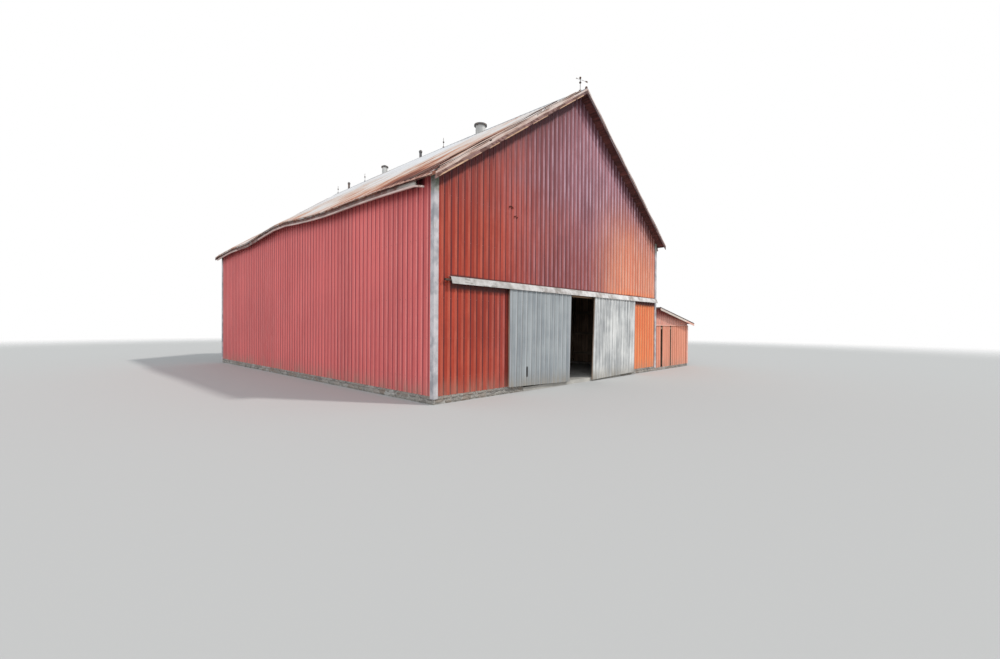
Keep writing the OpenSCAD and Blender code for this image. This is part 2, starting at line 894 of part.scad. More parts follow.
door_back = rib_height + door_clear;
door_frame_front = door_back + door_frame_thick;
door_front = door_frame_front + seat + door_sheet_thick;
track_y = front_y - door_back - door_frame_thick / 2;
track_wide = 50;
track_tall = 52;
track_wall = 3;
track_slot = 20;
track_end = half_w - corner_board_width - 40;

// The track's section: a box with a slot along its underside
module track_section() {
  w = track_wide / 2;
  h = track_tall / 2;
  t = track_wall;
  g = track_slot / 2;
  polygon([
    [-g, -h], [-w, -h], [-w, h], [w, h], [w, -h], [g, -h], [g, t - h], [w - t, t - h],
    [w - t, h - t], [t - w, h - t], [t - w, t - h], [-g, t - h]
  ]);
}

module door_track() {
  count = 11;
  first = -half_w + hood_start + 60;
  step = (track_end - 60 - first) / (count - 1);
  top = track_height + track_tall / 2;
  arm = 6;
  color([0.35, 0.33, 0.32]) {
    translate([-half_w + track_start, track_y, track_height])
      rotate([90, 0, 90]) linear_extrude(track_end + half_w - track_start) track_section();
    for (i = [0 : count - 1])
      box_between([first + i * step - 25, track_y - track_wide / 2, top - 1],
        [first + i * step + 25, front_y - rib_height - seat, top + arm]);
  }
}

hood_shoulder = 105;
hood_out = 170;
hood_sheet = 8;
hood_back = rib_height + seat;
hood_end = half_w - corner_board_width + corner_board_thick - 5;

// Bent cover over the track: a narrow top and a slanted face
module track_hood() {
  from = -half_w + hood_start;
  fall = 20;
  t = hood_sheet;
  color([0.86, 0.86, 0.84])
    translate([from, front_y, 0])
      rotate([90, 0, 90]) linear_extrude(hood_end - from)
        polygon([
          [-hood_back, hood_top], [-hood_back, hood_top - t],
          [-hood_shoulder + t / 2, hood_top - fall - t], [-hood_out + t, hood_low],
          [-hood_out - t * 0.2, hood_low], [-hood_shoulder - t / 2, hood_top - fall]
        ]);
}

// Corners of a door, in X and Z: outer or left foot first, then round to the upper left
left_x = doorway_shift - left_door_open + left_inner_lean - door_width;
right_x = doorway_shift + right_door_open + right_inner_lean;
left_corners = [
  [left_x - left_outer_lean, left_outer_foot],
  [left_x + door_width - left_inner_lean, left_inner_foot],
  [left_x + door_width, door_top], [left_x, door_top]
];
right_corners = [
  [right_x - right_inner_lean, right_inner_foot],
  [right_x + door_width - right_outer_lean, right_outer_foot],
  [right_x + door_width, door_top], [right_x, door_top]
];

// A point at a share of the door's width and height
function door_point(c, u, v) =
  (1 - v) * ((1 - u) * c[0] + u * c[1]) + v * ((1 - u) * c[3] + u * c[2]);

module door_quad(c, u0, u1, v0, v1) {
  polygon([door_point(c, u0, v0), door_point(c, u1, v0), door_point(c, u1, v1), door_point(c, u0, v1)]);
}

door_ribs = floor((door_width - rib_foot - 20) / rib_pitch) + 1;

// Ribbed sheet whose ribs run up the door, halfway between the leans of its two edges
module door_sheet(c) {
  lean = ((c[3][0] - c[0][0]) + (c[2][0] - c[1][0])) / 2;
  rise = door_top - (c[0][1] + c[1][1]) / 2;
  angle = atan(lean / rise);
  over = 400;
  first = (door_width - (door_ribs - 1) * rib_pitch) / 2;
  intersection() {
    translate([c[3][0], front_y - door_frame_front - seat, door_top])
      rotate([0, angle, 0])
        translate([0, 0, -rise - over]) linear_extrude(rise + 2 * over)
          translate([0, -door_sheet_thick])
            mirror([0, 1])
              ribbed_plan(-over, door_width + over,
                [for (i = [0 : door_ribs - 1]) first + i * rib_pitch], door_sheet_thick,
                door_rib_height);
    upright_xz(front_y - door_front - door_rib_height - 1, door_sheet_thick + door_rib_height + 2)
      door_quad(c, 0, 1, 0, 1);
  }
}

// A torn slit near the left door's foot: distance from its outer edge, height, width, length
slit = [775, 445, 45, 300];

module left_door() {
  color([0.75, 0.76, 0.75])
    difference() {
      door_sheet(left_corners);
      upright_xz(front_y - door_front - door_rib_height - 1, door_sheet_thick + door_rib_height + 2)
        translate([left_x + slit[0], slit[1]])
          polygon([
            [-slit[2] / 2, 0], [slit[2] / 2, slit[3] * 0.1], [slit[2] * 0.3, slit[3]],
            [-slit[2] * 0.5, slit[3] * 0.9]
          ]);
    }
}

module right_door() { color([0.8, 0.8, 0.78]) door_sheet(right_corners); }

// Two stiles with three rails between them, behind the sheet
module door_frame(c) {
  u = frame_bar / door_width;
  v = frame_bar / door_top;
  gap = seat / door_width;
  upright_xz(front_y - door_frame_front, door_frame_thick) {
    door_quad(c, 0, u, 0, 1);
    door_quad(c, 1 - u, 1, 0, 1);
    for (low = [0, 0.5 - v / 2, 1 - v]) door_quad(c, u + gap, 1 - u - gap, low, low + v);
  }
}

module left_door_frame() { color([0.5, 0.43, 0.35]) door_frame(left_corners); }
module right_door_frame() { color([0.5, 0.43, 0.35]) door_frame(right_corners); }

hanger_inset = 420;
hanger_width = 60;
hanger_plate = 8;
shoe_length = 160;
wheel_radius = 18;
wheel_thick = 11;
wheel_rise = track_height - track_tall / 2 + track_wall + wheel_radius + 0.5;

// A shoe on the door's top edge, a plate up through the slot, and a pair of wheels
module hanger(x) {
  base = door_top + seat;
  translate([x, track_y, 0]) {
    box_between([-shoe_length / 2, -door_frame_thick / 2, base],
      [shoe_length / 2, door_frame_thick / 2, base + 6]);
    box_between([-hanger_width / 2, -hanger_plate / 2, base],
      [hanger_width / 2, hanger_plate / 2, wheel_rise + wheel_radius * 0.5]);
    translate([0, hanger_plate / 2 + wheel_thick, wheel_rise])
      rotate([90, 0, 0]) cylinder(h = 2 * wheel_thick + hanger_plate, r = wheel_radius);
  }
}

module hanger_pair(x) {
  hanger(x + hanger_inset);
  hanger(x + door_width - hanger_inset);
}

module left_door_hangers() { color([0.4, 0.38, 0.36]) hanger_pair(left_x); }
module right_door_hangers() { color([0.4, 0.38, 0.36]) hanger_pair(right_x); }

/*
 Lean-to
*/

shed_in = half_w + corner_board_thick + seat;
shed_out = half_w + shed_width;
shed_back_y = front_y + shed_length;
shed_footing_height = 120;
shed_post = 110;

function shed_top(x) = shed_high - shed_slope * (x - half_w);
function shed_under(x) = shed_top(x) - shed_roof_thick;
shed_rafter_depth = 90;
function shed_rafter_under(x) = shed_under(x) - seat - shed_rafter_depth;

module shed_footing() {
  w = wall_thick + shed_post + 10;
  h = shed_footing_height;
  from = half_w + seat;
  color([0.6, 0.58, 0.54]) {
    box_between([from, front_y, 0], [shed_out, front_y + w, h]);
    box_between([from, shed_back_y - w, 0], [shed_out, shed_back_y, h]);
    box_between([shed_out - w, front_y + w + seat, 0], [shed_out, shed_back_y - w - seat, h]);
  }
}

shed_ribs = floor((shed_out - shed_in - corner_board_width - rib_foot) / rib_pitch);

module shed_front_upper() {
  first = shed_in + rib_foot;
  color([0.6, 0.2, 0.15])
    intersection() {
      on_front() translate([0, 0, shed_head]) linear_extrude(shed_high - shed_head)
        ribbed_plan(shed_in, shed_out, [for (i = [0 : shed_ribs - 1]) first + i * rib_pitch],
          wall_thick, rib_height);
      upright_xz(front_y - rib_height - 1, wall_thick + rib_height + 2)
        polygon([
          [shed_in, shed_head], [shed_out, shed_head], [shed_out, shed_under(shed_out) - seat],
          [shed_in, shed_under(shed_in) - seat]
        ]);
    }
}

shed_gap_one = half_w + 0.17 * shed_width;
shed_gap_two = half_w + 0.4447 * shed_width;
shed_panel_thick = 28;
shed_rib_height = 10;

// A panel of ribbed sheet, set back behind the flat of the upper siding
module shed_panel(from, to) {
  count = max(1, floor((to - from - rib_foot) / rib_pitch));
  first = from + (to - from - (count - 1) * rib_pitch) / 2;
  foot = shed_footing_height + seat;
  translate([0, front_y + wall_thick, foot])
    linear_extrude(shed_head - seat - foot)
      mirror([0, 1])
        translate([0, shed_panel_thick])
          ribbed_plan(from, to, [for (i = [0 : count - 1]) first + i * rib_pitch],
            shed_panel_thick, shed_rib_height);
}

module shed_front_panels() {
  color([0.72, 0.36, 0.3]) {
    shed_panel(shed_in, shed_gap_one);
    shed_panel(shed_gap_one + shed_gap_wide, shed_gap_two);
    shed_panel(shed_gap_two + shed_gap_narrow, shed_out);
  }
}

module shed_side_wall() {
  inner_from = front_y + wall_thick + seat;
  inner_to = shed_back_y - wall_thick - seat;
  foot = shed_footing_height + seat;
  first = inner_from + corner_board_width + rib_foot;
  count = floor((inner_to - corner_board_width - first) / rib_pitch);
  color([0.62, 0.22, 0.18])
    intersection() {
      translate([shed_out, 0, foot]) rotate([0, 0, -90]) mirror([1, 0, 0])
        linear_extrude(shed_under(shed_out - wall_thick) - seat - foot)
          ribbed_plan(inner_from, inner_to, [for (i = [0 : count - 1]) first + i * rib_pitch],
            wall_thick, rib_height);
      upright_xz(front_y, shed_length)
        polygon([
          [shed_out - wall_thick - 1, foot], [shed_out + rib_height + 1, foot],
          [shed_out + rib_height + 1, shed_under(shed_out + rib_height + 1) - seat],
          [shed_out - wall_thick - 1, shed_under(shed_out - wall_thick - 1) - seat]
        ]);
    }
}

module shed_back_wall() {
  foot = shed_footing_height + seat;
  from = half_w + rib_height + seat;
  first = from + rib_foot;
  color([0.62, 0.22, 0.18])
    intersection() {
      translate([0, shed_back_y, foot]) linear_extrude(shed_high)
        ribbed_plan(from, shed_out, [for (i = [0 : shed_ribs - 1]) first + i * rib_pitch],
          wall_thick, rib_height);
      upright_xz(shed_back_y - wall_thick - 1, wall_thick + rib_height + 2)
        polygon([
          [from, foot], [shed_out, foot], [shed_out, shed_under(shed_out) - seat],
          [from, shed_under(from) - seat]
        ]);
    }
}

ledger_thick = 40;

// Posts, an outer plate, a head over the front panels, a ledger on the barn and the rafters
module shed_frame() {
  inner_front = front_y + wall_thick + seat;
  inner_back = shed_back_y - wall_thick - seat;
  outer = shed_out - wall_thick - seat;
  ledger = half_w + rib_height + seat;
  from = ledger + ledger_thick + seat;
  foot = shed_footing_height + seat;
  plate_top = shed_rafter_under(outer) - seat;
  plate_low = plate_top - shed_post;
  rafter_step = (inner_back - inner_front - 50) / 4;
  color([0.45, 0.36, 0.27]) {
    for (y = [inner_front, (inner_front + inner_back - shed_post) / 2, inner_back - shed_post])
      box_between([outer - shed_post, y, foot], [outer, y + shed_post, plate_low - seat]);
    box_between([outer - shed_post, inner_front, plate_low], [outer, inner_back, plate_top]);
    box_between([from, inner_front, plate_low - shed_post - seat],
      [outer - shed_post - seat, inner_front + shed_post, plate_low - seat]);
    box_between([ledger, front_y + corner_board_width + seat, shed_rafter_under(from) - 40],
      [ledger + ledger_thick, inner_back, shed_under(from) - seat]);
    for (i = [0 : 4])
      upright_xz(inner_front + i * rafter_step, 50)
        polygon([
          [from, shed_under(from) - seat], [outer, shed_under(outer) - seat],
          [outer, shed_rafter_under(outer)], [from, shed_rafter_under(from)]
        ]);
  }
}

module shed_roof() {
  from = half_w + rib_height + seat;
  front_from = front_y - shed_rake_over;
  to = shed_out + shed_eave_over;
  color([0.66, 0.52, 0.44])
    difference() {
      upright_xz(front_from, shed_length + shed_rake_over + 150)
        polygon([
          [from, shed_top(from)], [to, shed_top(to)], [to, shed_under(to)],
          [from, shed_under(from)]
        ]);
      box_between([from - 1, front_from - 1, 0],
        [half_w + corner_board_thick + seat, front_y - corner_board_thick + corner_board_width + 1,
          shed_high + 1]);
    }
}

module shed_trim() {
  rake = 90;
  to = shed_out + shed_eave_over;
  from = shed_in;
  color([0.85, 0.84, 0.8]) {
    upright_xz(front_y - shed_rake_over + 5, 22)
      polygon([
        [from, shed_under(from) - seat], [to, shed_under(to) - seat],
        [to, shed_under(to) - rake], [from, shed_under(from) - rake]
      ]);
    translate([shed_out, front_y, 0])
      mirror([0, 1, 0])
        translate([0, 0, shed_footing_height]) corner_board(shed_head - shed_footing_height);
  }
}

floor_slab();
footings();
threshold();
front_wall_left();
front_wall_right();
front_gable();
left_side_wall();
right_side_wall();
back_wall();
corner_boards();
door_header();
frame_posts();
tie_beams();
knee_braces();
queen_posts();
purlins();
wall_plates();
side_girts();
end_girts();
rafters();
roof_left();
roof_right();
ridge_cap();
rake_boards();
eave_fascia();
gutters();
ventilators();
lightning_rods();
wind_vane();
door_track();
track_hood();
left_door();
left_door_frame();
left_door_hangers();
right_door();
right_door_frame();
right_door_hangers();
shed_footing();
shed_front_upper();
shed_front_panels();
shed_side_wall();
shed_back_wall();
shed_frame();
shed_roof();
shed_trim();
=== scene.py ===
"""Looks of the red barn: weathered metal siding, a rusting roof, sliding doors and a lean-to.

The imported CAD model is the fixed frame. This script gives each node its material and adds what is
too fine for the solids: roof ribs, ragged sheet ends, screws, bent flaps, straps and foot stones.
All lengths are metres in the part's frame: the ground is z = 0 and the doors face -Y.
"""

from __future__ import annotations

import json
import logging
import math
from dataclasses import dataclass, field
from enum import Enum
from functools import reduce
from random import Random
from typing import Iterable, Sequence, Union

import bpy
from mathutils import Matrix, Vector

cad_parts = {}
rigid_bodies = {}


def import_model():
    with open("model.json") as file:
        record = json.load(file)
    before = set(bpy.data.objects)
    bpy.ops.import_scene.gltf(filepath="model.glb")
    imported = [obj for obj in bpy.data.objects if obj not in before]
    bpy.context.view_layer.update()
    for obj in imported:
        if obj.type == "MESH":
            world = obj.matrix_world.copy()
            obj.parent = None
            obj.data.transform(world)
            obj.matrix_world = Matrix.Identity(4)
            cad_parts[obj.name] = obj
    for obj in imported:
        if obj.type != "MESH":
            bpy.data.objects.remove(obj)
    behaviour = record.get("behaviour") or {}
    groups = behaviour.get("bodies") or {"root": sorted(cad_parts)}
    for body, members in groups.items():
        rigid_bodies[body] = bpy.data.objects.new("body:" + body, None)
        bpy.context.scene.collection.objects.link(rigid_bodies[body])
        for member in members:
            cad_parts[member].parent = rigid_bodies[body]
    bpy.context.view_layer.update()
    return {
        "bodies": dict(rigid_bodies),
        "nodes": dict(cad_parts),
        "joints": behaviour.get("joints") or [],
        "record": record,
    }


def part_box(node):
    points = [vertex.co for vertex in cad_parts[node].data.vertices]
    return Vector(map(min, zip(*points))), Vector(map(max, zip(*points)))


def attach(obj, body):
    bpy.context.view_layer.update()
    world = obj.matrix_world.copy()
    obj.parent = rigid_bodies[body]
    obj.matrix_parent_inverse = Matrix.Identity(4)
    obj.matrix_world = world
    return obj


LOG = logging.getLogger("barn")

Color = tuple[float, float, float]
Point = tuple[float, float, float]
Value = Union[float, bpy.types.NodeSocket]
Tint = Union[Color, bpy.types.NodeSocket]
Feeds = dict[Union[int, str], Union[float, tuple[float, ...], bpy.types.NodeSocket]]

BARN = "barn"
LEFT_LEAF = "left_leaf"
RIGHT_LEAF = "right_leaf"

# The ribbed sheets: distance from rib to rib, a rib's section, and a sheet's width
RIB_PITCH = 0.2286
RIB_FOOT = 0.058
RIB_CREST = 0.022
RIB_RISE = 0.019
SHEET_WIDTH = 4 * RIB_PITCH

# Screws: how far one stands beside its rib, and how far a row strays
SCREW_BESIDE = 0.05
SCREW_STRAY = 0.006

# The sliding doors: from a door's edge to its first rib
DOOR_RIB = 0.0716

# The walls: half the plan of the barn over its siding, and a corner board's width
HALF_WIDTH = 6.3
HALF_LENGTH = 8.8
CORNER_BOARD = 0.145

# The roof: how far a slope reaches from the ridge, and how much it falls in a metre
ROOF_REACH = 6.55
ROOF_FALL = 0.69

# The lean-to: its front's inner end, its side wall, its back wall, the Y from which the barn's
# right wall stands clear of it, and the height of its footing
SHED_START = 6.36
SHED_SIDE = 10.1
SHED_BACK = -4.4
SHED_CLEAR = -4.3
SHED_FOOT = 0.12

# The Y of the four ventilators, from their shares of the barn's length
VENTILATORS = tuple(-HALF_LENGTH + 2 * HALF_LENGTH * share for share in (0.28, 0.52, 0.702, 0.925))

# Which of them are thin pipes, dark from top to foot
THIN_PIPES = (1, 3)

# Rows of rake strips: the width, the lift and the turned-down lip of each layer
LOOSE_ROWS = ((0.34, 0.010, 0.034), (0.24, 0.044, 0.018), (0.12, 0.078, 0.015))
FLAT_ROWS = ((0.34, 0.010, 0.030),)


class Axis(Enum):
    """A direction along the part's frame."""

    X = 0
    Y = 1
    Z = 2


def add_node(tree: bpy.types.NodeTree, kind: str, feeds: Feeds,
             **settings: str | bool) -> bpy.types.Node:
    """Makes one node of a tree.

    Args:
        tree: the node tree.
        kind: the node's type, after the word ShaderNode.
        feeds: what goes in its sockets, by number or name: a link or a constant.
        settings: its other settings.

    Returns:
        The node.
    """
    node = tree.nodes.new(f"ShaderNode{kind}")
    for name, setting in settings.items():
        setattr(node, name, setting)
    for key, value in feeds.items():
        socket = node.inputs[key]
        if isinstance(value, bpy.types.NodeSocket):
            tree.links.new(value, socket)
        elif socket.type == "RGBA":
            socket.default_value = (*value, 1.0)
        else:
            socket.default_value = value
    return node


class Graph:
    """The node tree of one material, with a short call for each kind of node used here."""

    def __init__(self, name: str) -> None:
        """Makes an empty material.

        Args:
            name: the material's name.
        """
        self.material = bpy.data.materials.new(name)
        self.material.use_nodes = True
        self.tree = self.material.node_tree
        self.tree.nodes.clear()
        coordinates = self.node("TexCoord", {})
        self.position = coordinates.outputs["Object"]
        self.normal = coordinates.outputs["Normal"]

    def node(self, kind: str, feeds: Feeds, **settings: str | bool) -> bpy.types.Node:
        """Makes a node of the material, as add_node does."""
        return add_node(self.tree, kind, feeds, **settings)

    def math(self, operation: str, first: Value, second: Value = 0.0, clamp: bool = False) -> Value:
        """Returns the result of one Math node."""
        feeds = {0: first, 1: second}
        return self.node("Math", feeds, operation=operation, use_clamp=clamp).outputs[0]

    def add(self, *values: Value) -> Value:
        """Returns the sum of the values."""
        return reduce(lambda total, value: self.math("ADD", total, value), values)

    def times(self, *values: Value) -> Value:
        """Returns the product of the values."""
        return reduce(lambda total, value: self.math("MULTIPLY", total, value), values)

    def distance(self, value: Value, place: float = 0.0) -> Value:
        """Returns how far a value is from a place, without a sign."""
        return self.math("ABSOLUTE", self.add(value, -place) if place else value)

    def parts(self, vector: Value | None = None) -> tuple[Value, Value, Value]:
        """Returns the x, y and z of a vector, by default of the position."""
        node = self.node("SeparateXYZ", {0: self.position if vector is None else vector})
        return node.outputs[0], node.outputs[1], node.outputs[2]

    def joined(self, x: Value, y: Value, z: Value) -> Value:
        """Returns the vector with these parts."""
        return self.node("CombineXYZ", {0: x, 1: y, 2: z}).outputs[0]

    def stretched(self, factors: Point) -> Value:
        """Returns the position times a factor along each axis."""
        return self.node("VectorMath", {0: self.position, 1: factors}, operation="MULTIPLY").outputs[0]

    def facing(self, direction: Vector) -> Value:
        """Returns how far the surface faces a direction, from -1 to 1."""
        feeds = {0: self.normal, 1: tuple(direction)}
        return self.node("VectorMath", feeds, operation="DOT_PRODUCT").outputs["Value"]

    def noise(self, vector: Value, scale: float, detail: float = 3.0, rough: float = 0.55) -> Value:
        """Returns a noise value round 0.5 at a vector."""
        feeds = {"Vector": vector, "Scale": scale, "Detail": detail, "Roughness": rough}
        return self.node("TexNoise", feeds).outputs[0]

    def cells(self, vector: Value, scale: float, feature: str = "F1") -> tuple[Value, Value]:
        """Returns the distance and the colour of a Voronoi pattern at a vector."""
        node = self.node("TexVoronoi", {"Vector": vector, "Scale": scale}, feature=feature)
        return node.outputs["Distance"], node.outputs.get("Color")

    def chance(self, value: Value) -> Value:
        """Returns a value from 0 to 1 that is the same wherever the given value is."""
        return self.node("TexWhiteNoise", {"W": value}, noise_dimensions="1D").outputs["Value"]

    def span(self, value: Value, low: float, high: float, start: float = 0.0, end: float = 1.0,
             smooth: bool = True) -> Value:
        """Maps a value from low..high to start..end, held at its ends.

        Args:
            value: the value to map.
            low: where the result is start.
            high: where the result is end.
            start: the result at low and below.
            end: the result at high and above.
            smooth: whether the change eases in and out.

        Returns:
            The result.
        """
        feeds = dict(enumerate((value, low, high, start, end)))
        easing = "SMOOTHSTEP" if smooth else "LINEAR"
        return self.node("MapRange", feeds, interpolation_type=easing, clamp=True).outputs[0]

    def toward(self, value: Value, none: float, full: float) -> Value:
        """Returns 0 where the value is at none and 1 where it is at full, either way round."""
        rising = none < full
        return self.span(value, none, full) if rising else self.span(value, full, none, 1.0, 0.0)

    def ramp(self, value: Value, stops: Sequence[tuple[float, Color]]) -> Value:
        """Turns a value into a colour.

        Args:
            value: the value.
            stops: pairs of a value and the colour there.

        Returns:
            The colour, which changes evenly between the stops.
        """
        node = self.node("ValToRGB", {0: value})
        elements = node.color_ramp.elements
        while len(elements) < len(stops):
            elements.new(0.5)
        for element, (place, color) in zip(elements, stops):
            element.position = place
            element.color = (*color, 1.0)
        return node.outputs[0]

    def mix(self, share: Value, first: Tint, second: Tint) -> Value:
        """Returns a colour between two colours."""
        return self.node("Mix", {0: share, 6: first, 7: second}, data_type="RGBA").outputs[2]

    def shade(self, color: Tint, factor: Value) -> Value:
        """Returns a colour made lighter or darker by a factor."""
        linked = self.mix(0.0, color, color) if isinstance(color, tuple) else color
        return self.node("VectorMath", {0: linked, "Scale": factor}, operation="SCALE").outputs[0]

    def offset(self, value: Value, pitch: float, start: float) -> tuple[Value, Value]:
        """Tells which of a row of even stripes a value is on.

        Args:
            value: the place across the stripes.
            pitch: the width of a stripe.
            start: where the first stripe begins.

        Returns:
            The stripe's number, and the way from its middle with a sign.
        """
        turns = self.math("DIVIDE", self.math("SUBTRACT", value, start), pitch)
        number = self.math("FLOOR", turns)
        away = self.math("SUBTRACT", self.math("SUBTRACT", turns, number), 0.5)
        return number, self.times(away, pitch)

    def stripe(self, value: Value, pitch: float, start: float) -> tuple[Value, Value]:
        """Returns the number of the stripe at a value, and the distance to the stripe's middle."""
        number, away = self.offset(value, pitch, start)
        return number, self.distance(away)

    def bump(self, height: Value, strength: float, depth: float) -> Value:
        """Returns a normal bent by a height."""
        feeds = {"Strength": strength, "Distance": depth, "Height": height}
        return self.node("Bump", feeds).outputs[0]

    def surface(self, color: Tint, roughness: Value, normal: Value | None = None,
                metallic: Value = 0.0, specular: float = 0.5) -> bpy.types.Material:
        """Ends the tree with a shader.

        Args:
            color: the surface's colour.
            roughness: from 0 for a mirror to 1 for chalk.
            normal: the bent normal, if there is one.
            metallic: the share of bare metal.
            specular: the strength of the reflection.

        Returns:
            The material.
        """
        feeds = {"Base Color": color, "Roughness": roughness, "Metallic": metallic,
                 "Specular IOR Level": specular}
        if normal is not None:
            feeds["Normal"] = normal
        self.node("OutputMaterial", {0: self.node("BsdfPrincipled", feeds).outputs[0]})
        return self.material


@dataclass(frozen=True)
class Wood:
    """Bare timber with its grain along one axis."""

    name: str
    light: Color
    dark: Color
    grain: Axis
    board: float = 0.19

    def color(self, graph: Graph, across: Value | None = None) -> tuple[Value, Value]:
        """Returns the wood's colour and its height for a bump.

        Args:
            graph: the tree that the nodes go in.
            across: the value that tells one board from the next, if there are boards.

        Returns:
            The colour, and the height for a bump.
        """
        stretch = tuple(0.9 if i == self.grain.value else 15.0 for i in range(3))
        long_grain = graph.noise(graph.stretched(stretch), 1.0, 5.0, 0.62)
        stain = graph.noise(graph.position, 1.1, 3.0)
        tone = graph.add(graph.times(long_grain, 0.7), graph.times(stain, 0.3))
        color = graph.mix(graph.span(tone, 0.36, 0.66), self.dark, self.light)
        if across is None:
            return color, long_grain
        number, away = graph.stripe(across, self.board, 0.013)
        color = graph.shade(color, graph.span(graph.chance(number), 0.0, 1.0, 0.78, 1.15))
        joint = graph.span(away, self.board / 2 - 0.006, self.board / 2)
        return graph.mix(graph.times(joint, 0.85), color, (0.012, 0.009, 0.007)), long_grain

    def build(self) -> bpy.types.Material:
        """Makes the material.

        Returns:
            The material.
        """
        graph = Graph(self.name)
        color, height = self.color(graph)
        knots, _ = graph.cells(graph.position, 2.3)
        color = graph.mix(graph.span(knots, 0.02, 0.07, 0.7, 0.0), color, self.dark)
        rough = graph.span(height, 0.3, 0.7, 0.72, 0.92)
        return graph.surface(color, rough, graph.bump(height, 0.5, 0.004))


INNER_BOARDS = {
    Axis.X: Wood("inner_boards_x", (0.46, 0.325, 0.235), (0.21, 0.135, 0.095), Axis.Z),
    Axis.Y: Wood("inner_boards_y", (0.46, 0.325, 0.235), (0.21, 0.135, 0.095), Axis.Z),
}


@dataclass(frozen=True)
class Region:
    """A part of a wall where the paint has other tones, which also serves for painted sunlight, sheen and
    shade, with a soft and wavy border.

    Each pair in along and up is a place where it has no share, and one where it has all.
    """

    deep: Color
    faded: Color
    chalk: Color
    along: tuple[tuple[float, float], ...] = ()
    up: tuple[tuple[float, float], ...] = ()
    drift: float = 2.4

    def share(self, graph: Graph, run: Value, height: Value, waves: Value) -> Value:
        """Works out where the region shows.

        Args:
            graph: the tree that the nodes go in.
            run: the place along the wall.
            height: the height above the ground.
            waves: a noise value round 0 that bends the border.

        Returns:
            The region's share in the paint.
        """
        bend = graph.times(waves, self.drift)
        share: Value = 1.0
        for place, pairs in ((run, self.along), (height, self.up)):
            for none, full in pairs:
                share = graph.times(graph.toward(graph.add(place, bend), none, full), share)
        return share


